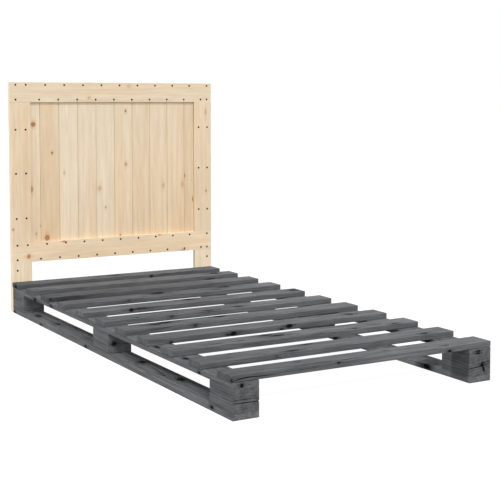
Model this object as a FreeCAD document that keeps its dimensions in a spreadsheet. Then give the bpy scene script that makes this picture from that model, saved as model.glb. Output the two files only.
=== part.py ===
import FreeCAD, Part
import math
import os
from types import SimpleNamespace

import Sketcher

# A single pallet bed: a slatted base on six blocks, with a boarded headboard behind it.
# X runs across the bed, Y from the foot to the head, and Z up from the floor.
# The origin is on the floor, at the middle of the area that the bed covers.

# Driving dimensions in millimetres
SIZES = {
    # Pallet base
    "base_length": 2000.0,
    "slat_length": 1000.0,
    "slat_overhang": 3.0,
    "slat_width": 88.0,
    "slat_thickness": 20.0,
    "beam_width": 92.0,
    "runner_thickness": 20.0,
    "stringer_thickness": 20.0,
    "block_height": 75.0,
    "block_length": 143.0,
    "beam_easing": 2.5,
    "block_easing": 1.2,
    # Headboard frame
    "headboard_height": 1022.0,
    "frame_thickness": 15.0,
    "frame_easing": 1.0,
    "rail_height": 89.0,
    "stile_width": 90.0,
    "leg_length": 220.0,
    # Headboard boarding
    "board_width": 90.0,
    "least_side_width": 45.0,
    "board_thickness": 16.0,
    "seam_bevel": 1.8,
    "tongue_depth": 6.0,
    "tongue_thickness": 5.0,
    "tongue_clearance": 0.3,
    # Countersunk wood screws
    "head_radius": 3.9,
    "head_depth": 2.4,
    "shank_radius": 2.0,
    "tip_length": 4.0,
    "frame_screw_length": 28.0,
    "slat_screw_length": 34.0,
    "block_screw_length": 110.0,
    # Places of the screws, from the edges of the pieces that they hold
    "rail_screw_inset": 12.0,
    "side_screw_inset": 23.0,
    "board_screw_left": 22.0,
    "board_screw_right": 7.0,
    "stile_screw_outer": 21.0,
    "stile_screw_inner": 67.0,
    "leg_screw_inset": 35.0,
    "block_screw_side": 26.0,
    "block_screw_end": 38.0,
    # Hexagon bolts through the headboard's sides into the head blocks
    "bolt_head_radius": 7.5,
    "bolt_head_height": 5.5,
    "bolt_recess_radius": 12.0,
    "bolt_shank_radius": 4.0,
    "bolt_clearance": 0.3,
    "bolt_length": 80.0,
    "bolt_inset": 19.0,
}

# The screws are small enough to be drawn with six sides, and the bolts have hexagon heads
SCREW_SIDES = 6
BOLT_SIDES = 6

# Where the blocks lie from the foot to the head, as shares of the run that a block can take
BLOCK_NAMES = ("foot", "middle", "head")
BLOCK_SHARES = (0.0, 0.5, 1.0)

# Where each slat lies from the foot to the head, as shares of the run that a slat can take
SLAT_SHARES = (0.0, 0.1, 0.204, 0.304, 0.4025, 0.5, 0.604, 0.708, 0.808, 0.907, 1.0)

# Where the stile screws lie, as shares of the stile's length
STILE_SCREW_SHARES = (0.173, 0.494, 0.806)

FORWARD = FreeCAD.Vector(0, 1, 0)
BACKWARD = FreeCAD.Vector(0, -1, 0)
UP = FreeCAD.Vector(0, 0, 1)


class Length:
    """A length with its value in millimetres and its formula in the sheet's cells."""

    def __init__(self, value, formula):
        self.value = value
        self.formula = formula

    def __add__(self, other):
        return Length(self.value + other.value, "(%s + %s)" % (self.formula, other.formula))

    def __sub__(self, other):
        return Length(self.value - other.value, "(%s - %s)" % (self.formula, other.formula))

    def __mul__(self, share):
        return Length(self.value * share, "(%s * %s)" % (self.formula, share))

    def __truediv__(self, count):
        return Length(self.value / count, "(%s / %s)" % (self.formula, count))


ZERO = Length(0.0, "0")


def fill_sheet(document):
    """Writes the driving dimensions to a sheet and gives them back as lengths."""
    sheet = document.addObject("Spreadsheet::Sheet", "sizes")
    for row, (alias, number) in enumerate(SIZES.items(), start=1):
        sheet.set("A%d" % row, alias)
        sheet.set("B%d" % row, str(number))
        sheet.setAlias("B%d" % row, alias)
    document.recompute()
    lengths = {alias: Length(float(sheet.get(alias)), "sizes." + alias) for alias in SIZES}
    return SimpleNamespace(**lengths)


doc = FreeCAD.newDocument("pallet_bed")
size = fill_sheet(doc)

# Planes and spans that several pieces share
depth = size.frame_thickness + size.board_thickness
foot_end = ZERO - (size.base_length + depth) / 2
head_end = foot_end + size.base_length
boarding_face = head_end + size.frame_thickness
slat_left = ZERO - size.slat_length / 2
bed_left = slat_left + size.slat_overhang
bed_width = size.slat_length - size.slat_overhang
bed_right = bed_left + bed_width
block_base = size.runner_thickness
stringer_base = block_base + size.block_height
slat_base = stringer_base + size.stringer_thickness
bottom_rail_top = size.leg_length + size.rail_height
top_rail_base = size.headboard_height - size.rail_height
stile_length = top_rail_base - bottom_rail_top

# As many full boards as fit between two narrower side boards
board_room = bed_width - size.least_side_width * 2
board_count = int(board_room.value // size.board_width.value)
side_width = (bed_width - size.board_width * board_count) / 2


def eased_rectangle(width, height, easing):
    """Gives the corners of a timber's section, with its four long edges eased."""
    return [
        (easing, ZERO), (width - easing, ZERO),
        (width, easing), (width, height - easing),
        (width - easing, height), (easing, height),
        (ZERO, height - easing), (ZERO, easing),
    ]


def board_section(width, groove, tongue):
    """Gives the corners of a board's section, bevelled in front, with its groove and tongue."""
    bevel = size.seam_bevel
    back = size.board_thickness
    low = (size.board_thickness - size.tongue_thickness) / 2
    high = low + size.tongue_thickness
    corners = [(bevel, ZERO), (width - bevel, ZERO), (width, bevel)]
    if tongue:
        reach = width + size.tongue_depth
        corners += [(width, low), (reach, low), (reach, high), (width, high)]
    corners += [(width, back), (ZERO, back)]
    if groove:
        reach = size.tongue_depth + size.tongue_clearance
        floor = low - size.tongue_clearance
        roof = high + size.tongue_clearance
        corners += [(ZERO, roof), (reach, roof), (reach, floor), (ZERO, floor)]
    return corners + [(ZERO, bevel)]


def draw_section(body, plane_role, corners):
    """Draws a closed section on one of the body's planes, with each corner tied to the sheet."""
    plane = next(item for item in body.Origin.OriginFeatures if item.Role == plane_role)
    sketch = body.newObject("Sketcher::SketchObject", body.Name + "_section")
    sketch.AttachmentSupport = [(plane, "")]
    sketch.MapMode = "FlatFace"
    points = [FreeCAD.Vector(across.value, up.value, 0) for across, up in corners]
    edges = []
    for index, point in enumerate(points):
        edges.append(sketch.addGeometry(Part.LineSegment(points[index - 1], point), False))
    for index, edge in enumerate(edges):
        sketch.addConstraint(Sketcher.Constraint("Coincident", edges[index - 1], 2, edge, 1))
    for edge, (across, up) in zip(edges, corners):
        for kind, length in (("DistanceX", across), ("DistanceY", up)):
            tie = Sketcher.Constraint(kind, -1, 1, edge, 2, length.value)
            sketch.setExpression("Constraints[%d]" % sketch.addConstraint(tie), length.formula)
    return sketch


def timber(label, plane_role, corners, run, place):
    """Makes a timber: its section is padded along its run, and it is set in its place."""
    body = doc.addObject("PartDesign::Body", label + "_blank")
    pad = body.newObject("PartDesign::Pad", label + "_run")
    pad.Profile = draw_section(body, plane_role, corners)
    pad.setExpression("Length", run.formula)
    # The normal of the XZ plane points to the foot, and timbers run to the head
    pad.Reversed = plane_role == "XZ_Plane"
    body.Tip = pad
    for axis, length in zip("xyz", place):
        body.setExpression("Placement.Base." + axis, length.formula)
    return body


def crosswise(label, width, height, easing, place, run):
    """Makes a timber that runs across the bed."""
    return timber(label, "YZ_Plane", eased_rectangle(width, height, easing), run, place)


def lengthwise(label, height, easing, place, run):
    """Makes a timber of the side beams' width that runs from the foot to the head."""
    section = eased_rectangle(size.beam_width, height, easing)
    return timber(label, "XZ_Plane", section, run, place)


def upright(label, run, place):
    """Makes a stile or leg of the headboard's frame."""
    section = eased_rectangle(size.stile_width, size.frame_thickness, size.frame_easing)
    return timber(label, "XY_Plane", section, run, place)


def make_base():
    """Makes the runners, blocks, stringers and slats, before they are drilled."""
    blanks = {}
    beam_places = {"left": bed_left, "right": bed_right - size.beam_width}
    for side, x in beam_places.items():
        for part, z, height in (
            ("runner", ZERO, size.runner_thickness),
            ("stringer", stringer_base, size.stringer_thickness),
        ):
            label = side + "_" + part
            place = (x, foot_end, z)
            blanks[label] = lengthwise(label, height, size.beam_easing, place, size.base_length)
        for position, share in zip(BLOCK_NAMES, BLOCK_SHARES):
            label = "%s_%s_block" % (side, position)
            y = foot_end + (size.base_length - size.block_length) * share
            place = (x, y, block_base)
            blanks[label] = lengthwise(
                label, size.block_height, size.block_easing, place, size.block_length
            )
    for number, share in enumerate(SLAT_SHARES, start=1):
        label = "slat_%02d" % number
        place = (slat_left, foot_end + (size.base_length - size.slat_width) * share, slat_base)
        blanks[label] = crosswise(
            label, size.slat_width, size.slat_thickness, size.beam_easing, place, size.slat_length
        )
    return blanks


def make_headboard():
    """Makes the headboard's rails, stiles, legs and boarding, before they are drilled."""
    blanks = {}
    for label, z in (("top_rail", top_rail_base), ("bottom_rail", size.leg_length)):
        place = (bed_left, head_end, z)
        blanks[label] = crosswise(
            label, size.frame_thickness, size.rail_height, size.frame_easing, place, bed_width
        )
    for side, x in (("left", bed_left), ("right", bed_right - size.stile_width)):
        label = side + "_stile"
        blanks[label] = upright(label, stile_length, (x, head_end, bottom_rail_top))
        label = side + "_leg"
        blanks[label] = upright(label, size.leg_length, (x, head_end, ZERO))
    for side, x in (("left", bed_left), ("right", bed_right - side_width)):
        label = side + "_side_board"
        section = board_section(side_width, groove=side == "right", tongue=side == "left")
        place = (x, boarding_face, ZERO)
        blanks[label] = timber(label, "XY_Plane", section, size.headboard_height, place)
    for index in range(board_count):
        label = "board_%02d" % (index + 1)
        section = board_section(size.board_width, groove=True, tongue=True)
        place = (bed_left + side_width + size.board_width * index, boarding_face, size.leg_length)
        run = size.headboard_height - size.leg_length
        blanks[label] = timber(label, "XY_Plane", section, run, place)
    return blanks


def ring(radius, height, sides):
    """Gives the corners of a regular outline round the Z axis at a height."""
    turn = 2 * math.pi / sides
    return [
        FreeCAD.Vector(radius * math.cos(turn * k), radius * math.sin(turn * k), height)
        for k in range(sides)
    ]


def flat_face(corners):
    """Makes a flat face from its corners."""
    return Part.Face(Part.makePolygon(corners + corners[:1]))


def wood_screw(length):
    """Makes a countersunk screw with its head at the origin and its tip up the Z axis."""
    tip_base = length.value - size.tip_length.value
    tip = FreeCAD.Vector(0, 0, length.value)
    head = ring(size.head_radius.value, 0, SCREW_SIDES)
    neck = ring(size.shank_radius.value, size.head_depth.value, SCREW_SIDES)
    end = ring(size.shank_radius.value, tip_base, SCREW_SIDES)
    faces = [flat_face(head)]
    for k in range(SCREW_SIDES):
        faces.append(flat_face([head[k - 1], head[k], neck[k], neck[k - 1]]))
        faces.append(flat_face([neck[k - 1], neck[k], end[k], end[k - 1]]))
        faces.append(flat_face([end[k - 1], end[k], tip]))
    return Part.makeSolid(Part.makeShell(faces))


def bolt():
    """Makes a hexagon bolt with its seat at the origin and its end up the Z axis."""
    head = flat_face(ring(size.bolt_head_radius.value, 0, BOLT_SIDES))
    head = head.extrude(UP * -size.bolt_head_height.value)
    shank = Part.makeCylinder(size.bolt_shank_radius.value, size.bolt_length.value)
    return head.fuse(shank)


def bolt_hole():
    """Makes the cutter for a bolt's hole, with a recess that takes the head."""
    clearance = size.bolt_clearance.value
    recess_depth = size.bolt_head_height.value + clearance
    recess = Part.makeCylinder(size.bolt_recess_radius.value, recess_depth)
    recess.translate(UP * -recess_depth)
    bore_radius = size.bolt_shank_radius.value + clearance
    bore = Part.makeCylinder(bore_radius, size.bolt_length.value + clearance)
    return recess.fuse(bore)


def fastener_group(label, pattern, direction, places):
    """Makes one object of equal fasteners, each turned to its direction and set in place."""
    turn = FreeCAD.Rotation(UP, direction)
    solids = []
    for x, y, z in places:
        solid = pattern.copy()
        solid.Placement = FreeCAD.Placement(FreeCAD.Vector(x, y, z), turn)
        solids.append(solid)
    group = doc.addObject("Part::Feature", label)
    group.Label = label
    group.Shape = Part.makeCompound(solids)
    return group


def rail_screw_places():
    """Places the screws that hold each rail to the sides and to both edges of each board."""
    sides = [bed_left + size.side_screw_inset, bed_right - size.side_screw_inset]
    first = bed_left + side_width
    boards = [first + size.board_width * index for index in range(board_count)]
    upper = sides + [board + size.board_screw_left for board in boards]
    lower = sides + [board + size.board_width - size.board_screw_right for board in boards]
    places = []
    for rail_base in (size.leg_length, top_rail_base):
        upper_height = rail_base + size.rail_height - size.rail_screw_inset
        lower_height = rail_base + size.rail_screw_inset
        places += [(x.value, head_end.value, upper_height.value) for x in upper]
        places += [(x.value, head_end.value, lower_height.value) for x in lower]
    return places


def stile_screw_places():
    """Places the pairs of screws that hold the stiles to the boarding."""
    columns = []
    for inset in (size.stile_screw_outer, size.stile_screw_inner):
        columns += [bed_left + inset, bed_right - inset]
    heights = [bottom_rail_top + stile_length * share for share in STILE_SCREW_SHARES]
    return [(x.value, head_end.value, z.value) for x in columns for z in heights]


def leg_screw_places():
    """Places the screw that holds each leg to its side board, below the bottom rail."""
    height = size.leg_length - size.leg_screw_inset
    columns = (bed_left + size.side_screw_inset, bed_right - size.side_screw_inset)
    return [(x.value, head_end.value, height.value) for x in columns]


def slat_screw_places():
    """Places a screw under each end of each slat, up through the stringer."""
    places = []
    for share in SLAT_SHARES:
        y = foot_end + (size.base_length - size.slat_width) * share + size.slat_width / 2
        for x in (bed_left + size.beam_width / 2, bed_right - size.beam_width / 2):
            places.append((x.value, y.value, stringer_base.value))
    return places


def block_screw_places():
    """Places two screws up through the runner and each block, across its corners."""
    side = size.block_screw_side
    far_side = size.beam_width - side
    spare = size.base_length - size.block_length
    places = []
    for share in BLOCK_SHARES:
        start = foot_end + spare * share
        near = start + size.block_screw_end
        far = start + size.block_length - size.block_screw_end
        for x, y in (
            (bed_left + side, near), (bed_left + far_side, far),
            (bed_right - side, near), (bed_right - far_side, far),
        ):
            places.append((x.value, y.value, 0))
    return places


def bolt_places():
    """Places two bolts, one above the other, in each side of the headboard."""
    seat = head_end + depth - size.bolt_head_height
    low = block_base + size.bolt_inset
    high = stringer_base - size.bolt_inset
    columns = (bed_left + side_width / 2, bed_right - side_width / 2)
    return [(x.value, seat.value, z.value) for x in columns for z in (low, high)]


def drilled(label, blank, cutters):
    """Cuts the holes of the fasteners that reach a blank, which gives the finished piece."""
    space = blank.Shape.BoundBox
    found = [cutter for cutter in cutters if cutter.BoundBox.intersect(space)]
    holes = doc.addObject("Part::Feature", label + "_holes")
    holes.Shape = Part.makeCompound(found)
    piece = doc.addObject("Part::Cut", label)
    piece.Base = blank
    piece.Tool = holes
    piece.Label = label
    return piece


blanks = make_base()
blanks.update(make_headboard())
doc.recompute()

frame_screw = wood_screw(size.frame_screw_length)
slat_screw = wood_screw(size.slat_screw_length)
block_screw = wood_screw(size.block_screw_length)
screw_groups = [
    fastener_group("rail_screws", frame_screw, FORWARD, rail_screw_places()),
    fastener_group("stile_screws", frame_screw, FORWARD, stile_screw_places()),
    fastener_group("leg_screws", frame_screw, FORWARD, leg_screw_places()),
    fastener_group("slat_screws", slat_screw, UP, slat_screw_places()),
    fastener_group("block_screws", block_screw, UP, block_screw_places()),
]
bolts = fastener_group("headboard_bolts", bolt(), BACKWARD, bolt_places())
bolt_holes = fastener_group("bolt_holes", bolt_hole(), BACKWARD, bolt_places())

cutters = [solid for group in screw_groups + [bolt_holes] for solid in group.Shape.Solids]
pieces = [drilled(label, blank, cutters) for label, blank in blanks.items()]
pieces += screw_groups + [bolts]
doc.recompute()

for item in doc.Objects:
    if "Invalid" in item.State or "Error" in item.State:
        raise RuntimeError("%s did not recompute: %s" % (item.Label, item.State))
for piece in pieces:
    if piece.Shape.isNull() or not piece.Shape.isValid():
        raise RuntimeError("%s has no sound shape" % piece.Label)

os.makedirs("parts", exist_ok=True)
for piece in pieces:
    piece.Shape.exportStep(os.path.join("parts", piece.Label + ".step"))
    print("%-20s %3d solids" % (piece.Label, len(piece.Shape.Solids)))
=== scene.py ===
"""Dresses the pallet bed: a bare pine headboard and a grey stained slatted base on a pale floor."""

import logging
import math
import random
from dataclasses import dataclass
from enum import Enum
from typing import Callable, ClassVar, Sequence

import bmesh
import bpy
import numpy as np
from mathutils import Matrix, Vector


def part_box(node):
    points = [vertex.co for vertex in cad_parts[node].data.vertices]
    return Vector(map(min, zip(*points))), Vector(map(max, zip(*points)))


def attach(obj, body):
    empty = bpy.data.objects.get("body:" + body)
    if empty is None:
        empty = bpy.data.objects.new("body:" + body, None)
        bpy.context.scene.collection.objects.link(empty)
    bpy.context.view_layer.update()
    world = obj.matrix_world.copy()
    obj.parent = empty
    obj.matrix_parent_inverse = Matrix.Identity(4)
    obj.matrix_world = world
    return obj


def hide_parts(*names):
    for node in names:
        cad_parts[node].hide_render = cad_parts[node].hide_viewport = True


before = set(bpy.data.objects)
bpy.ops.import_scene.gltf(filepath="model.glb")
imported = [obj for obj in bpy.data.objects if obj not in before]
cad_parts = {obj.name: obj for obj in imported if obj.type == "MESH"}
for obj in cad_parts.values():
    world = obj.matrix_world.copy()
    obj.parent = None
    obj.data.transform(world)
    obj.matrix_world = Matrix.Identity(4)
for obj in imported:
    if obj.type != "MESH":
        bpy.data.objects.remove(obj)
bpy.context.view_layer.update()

log = logging.getLogger("pallet_bed")

Point = tuple[float, float, float]
Colour = tuple[float, float, float]
Span = tuple[float, float]

MILLIMETRE = 0.001

# How many knots a timber can have, and what a knot's attribute holds where there is none
KNOT_SLOTS = 8
NO_KNOT = (60.0, 60.0, 0.0)

# Places closer than the first, in metres, count as one. The second allows for worked-out places.
SAME_PLACE = 1e-6
NEAR_PLACE = 1e-5

# The least cosine for an edge that runs along an axis, and for a face that looks along it
RUNS_ALONG = 0.999
LOOKS_ALONG = 0.9

# Wood deeper than this inside a timber is in a crack or a bore, and keeps this share of its tone, as
# painted shade inside cracks and bores
CUT_DEPTH = 0.003
CUT_SHADE_TONE = 0.1

# How far an eased edge's points lie from the two planes that the edge joins
EASED_SPAN = (2e-5, 0.0035)

# How far off, in metres, a seam is taken to be where a timber has none
NO_SEAM = 1.0


class Axis(Enum):
    """The directions of the bed: across it, from foot to head, and up."""

    ACROSS = 0
    LENGTH = 1
    UP = 2

    def vector(self) -> Vector:
        """Gives the direction as a unit vector."""
        return Vector([1.0 if index == self.value else 0.0 for index in range(3)])


class Side(Enum):
    """The two long sides of the bed, seen from its foot."""

    LEFT = "left"
    RIGHT = "right"


class MeshPart(Enum):
    """What is selected in edit mode."""

    EDGE = "EDGE"
    FACE = "FACE"


@dataclass(frozen=True)
class Knot:
    """A branch that shows on a timber's surface."""

    place: Point
    radius: float
    branch: Axis
    strength: float = 1.0
    stretch: float = 1.25
    reach: float = 0.02

    def spread(self, points: np.ndarray, grain: Axis) -> np.ndarray:
        """Measures points from the knot, in its own radii.

        The knot fades along its branch, from the face that it shows on into the timber.

        Args:
            points: Places on the timber, one to a row.
            grain: The direction of the timber's grain.

        Returns:
            The distances along and across the grain and the knot's strength, for each point.
        """
        away = points - np.array(self.place)
        across = [axis for axis in Axis if axis is not self.branch]
        across.sort(key=lambda axis: axis is not grain)
        columns = []
        for axis, stretch in zip(across, (self.stretch, 1.0)):
            columns.append(away[:, axis.value] / (self.radius * stretch))
        depth = away[:, self.branch.value]
        inwards = 1.0 if depth.sum() > 0.0 else -1.0
        columns.append(self.strength * (1.0 - inwards * depth / self.reach))
        return np.column_stack(columns)


class NodeDesk:
    """Lays out shader nodes in a tree and joins them."""

    def __init__(self, tree: bpy.types.NodeTree) -> None:
        """Starts on a tree."""
        self.tree = tree

    def add(self, kind: str, **settings: object) -> bpy.types.Node:
        """Adds a node.

        Args:
            kind: The node's type.
            settings: Values for the node's own properties.

        Returns:
            The new node.
        """
        node = self.tree.nodes.new(kind)
        for name, value in settings.items():
            setattr(node, name, value)
        return node

    def feed(self, node: bpy.types.Node, socket: int | str, value: object) -> None:
        """Joins a socket to another node's output, or sets it to a plain value.

        Args:
            node: The node that takes the value.
            socket: The input's name or number.
            value: An output socket, a number or a tuple.
        """
        if isinstance(value, bpy.types.NodeSocket):
            self.tree.links.new(value, node.inputs[socket])
        else:
            node.inputs[socket].default_value = value

    def sum(self, operation: str, *values: object) -> bpy.types.NodeSocket:
        """Does a sum on numbers.

        Args:
            operation: The sum.
            values: The numbers or sockets that it takes.

        Returns:
            The socket of the result.
        """
        node = self.add("ShaderNodeMath", operation=operation)
        for index, value in enumerate(values):
            self.feed(node, index, value)
        return node.outputs[0]

    def stretch(self, vector: object, scale: Point) -> bpy.types.NodeSocket:
        """Multiplies a vector by a scale.

        Args:
            vector: The vector's socket.
            scale: What each of its numbers is multiplied by.

        Returns:
            The socket of the result.
        """
        node = self.add("ShaderNodeVectorMath", operation="MULTIPLY")
        self.feed(node, 0, vector)
        self.feed(node, 1, scale)
        return node.outputs[0]

    def parts(self, vector: object) -> bpy.types.NodeOutputs:
        """Splits a vector.

        Args:
            vector: The vector's socket.

        Returns:
            The sockets of its three numbers.
        """
        node = self.add("ShaderNodeSeparateXYZ")
        self.feed(node, 0, vector)
        return node.outputs

    def clouds(
        self, vector: object, scale: float, detail: float = 2.0, roughness: float = 0.5
    ) -> bpy.types.NodeSocket:
        """Adds a noise.

        Args:
            vector: Where the noise is read.
            scale: How fine it is.
            detail: Its octaves.
            roughness: The strength of its finer octaves.

        Returns:
            The socket of its value.
        """
        node = self.add("ShaderNodeTexNoise", noise_dimensions="3D")
        self.feed(node, "Vector", vector)
        self.feed(node, "Scale", scale)
        self.feed(node, "Detail", detail)
        self.feed(node, "Roughness", roughness)
        return node.outputs["Fac"]

    def grain(
        self, place: object, scale: Point, detail: float = 2.0, roughness: float = 0.5
    ) -> bpy.types.NodeSocket:
        """Adds a noise that is drawn out along the log, and gives the socket of its value."""
        return self.clouds(self.stretch(place, scale), 1.0, detail, roughness)

    def fade(
        self, value: object, start: float, end: float, low: float = 0.0, high: float = 1.0
    ) -> bpy.types.NodeSocket:
        """Fades smoothly from one value to another.

        Args:
            value: The number that drives the fade.
            start: Where the fade starts.
            end: Where it ends.
            low: The result before the start.
            high: The result after the end.

        Returns:
            The socket of the result.
        """
        node = self.add("ShaderNodeMapRange", interpolation_type="SMOOTHSTEP", clamp=True)
        for socket, number in ((0, value), (1, start), (2, end), (3, low), (4, high)):
            self.feed(node, socket, number)
        return node.outputs[0]

    def blend(
        self, share: object, first: object, second: object, kind: str = "MIX"
    ) -> bpy.types.NodeSocket:
        """Blends two colours.

        Args:
            share: How much of the second colour shows.
            first: The colour underneath.
            second: The colour on top.
            kind: The way that they blend.

        Returns:
            The socket of the blended colour.
        """
        node = self.add("ShaderNodeMix", data_type="RGBA", blend_type=kind, clamp_factor=True)
        self.feed(node, 0, share)
        for socket, colour in ((6, first), (7, second)):
            self.feed(node, socket, (*colour, 1.0) if isinstance(colour, tuple) else colour)
        return node.outputs[2]

    def read(self, name: str) -> bpy.types.Node:
        """Adds a node that reads one of the mesh's attributes."""
        return self.add("ShaderNodeAttribute", attribute_type="GEOMETRY", attribute_name=name)

    def stamp(self, group: bpy.types.NodeTree, **values: object) -> bpy.types.Node:
        """Places a node group.

        Args:
            group: The group.
            values: What its inputs take, with underscores for the spaces of their names.

        Returns:
            The group's node.
        """
        node = self.add("ShaderNodeGroup", node_tree=group)
        for name, value in values.items():
            self.feed(node, name.replace("_", " "), value)
        return node

    def bump(self, height: object, strength: float, distance: float) -> bpy.types.NodeSocket:
        """Turns a height into relief.

        Args:
            height: The height's socket.
            strength: How much of the relief shows.
            distance: The relief's depth, in metres.

        Returns:
            The socket of the normal.
        """
        node = self.add("ShaderNodeBump")
        self.feed(node, "Strength", strength)
        self.feed(node, "Distance", distance)
        self.feed(node, "Height", height)
        return node.outputs[0]

    def mix(self, share: object, first: object, second: object) -> bpy.types.NodeSocket:
        """Mixes two shaders.

        Args:
            share: How much of the second shader shows.
            first: The first shader's socket.
            second: The second shader's socket.

        Returns:
            The socket of the mixed shader.
        """
        node = self.add("ShaderNodeMixShader")
        for index, value in enumerate((share, first, second)):
            self.feed(node, index, value)
        return node.outputs[0]

    def show(self, shader: object, kind: str = "ShaderNodeOutputMaterial") -> None:
        """Sends a shader to the tree's output."""
        self.feed(self.add(kind), 0, shader)


def open_desk(owner: bpy.types.Material | bpy.types.World) -> NodeDesk:
    """Gives a material or a world an empty node tree.

    Args:
        owner: The material or world.

    Returns:
        A desk on its tree.
    """
    owner.use_nodes = True
    owner.node_tree.nodes.clear()
    return NodeDesk(owner.node_tree)


def open_group(
    name: str, inputs: Sequence[tuple[str, str]], outputs: Sequence[str]
) -> tuple[NodeDesk, bpy.types.Node, bpy.types.Node]:
    """Starts a shader node group.

    Args:
        name: The group's name.
        inputs: The name and kind of each input, where the kind is Float or Vector.
        outputs: The names of its outputs, which are all numbers.

    Returns:
        A desk on the group, the node of its inputs and the node of its outputs.
    """
    tree = bpy.data.node_groups.new(name, "ShaderNodeTree")
    for label, kind in inputs:
        tree.interface.new_socket(label, in_out="INPUT", socket_type="NodeSocket" + kind)
    for label in outputs:
        tree.interface.new_socket(label, in_out="OUTPUT", socket_type="NodeSocketFloat")
    desk = NodeDesk(tree)
    return desk, desk.add("NodeGroupInput"), desk.add("NodeGroupOutput")


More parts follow.
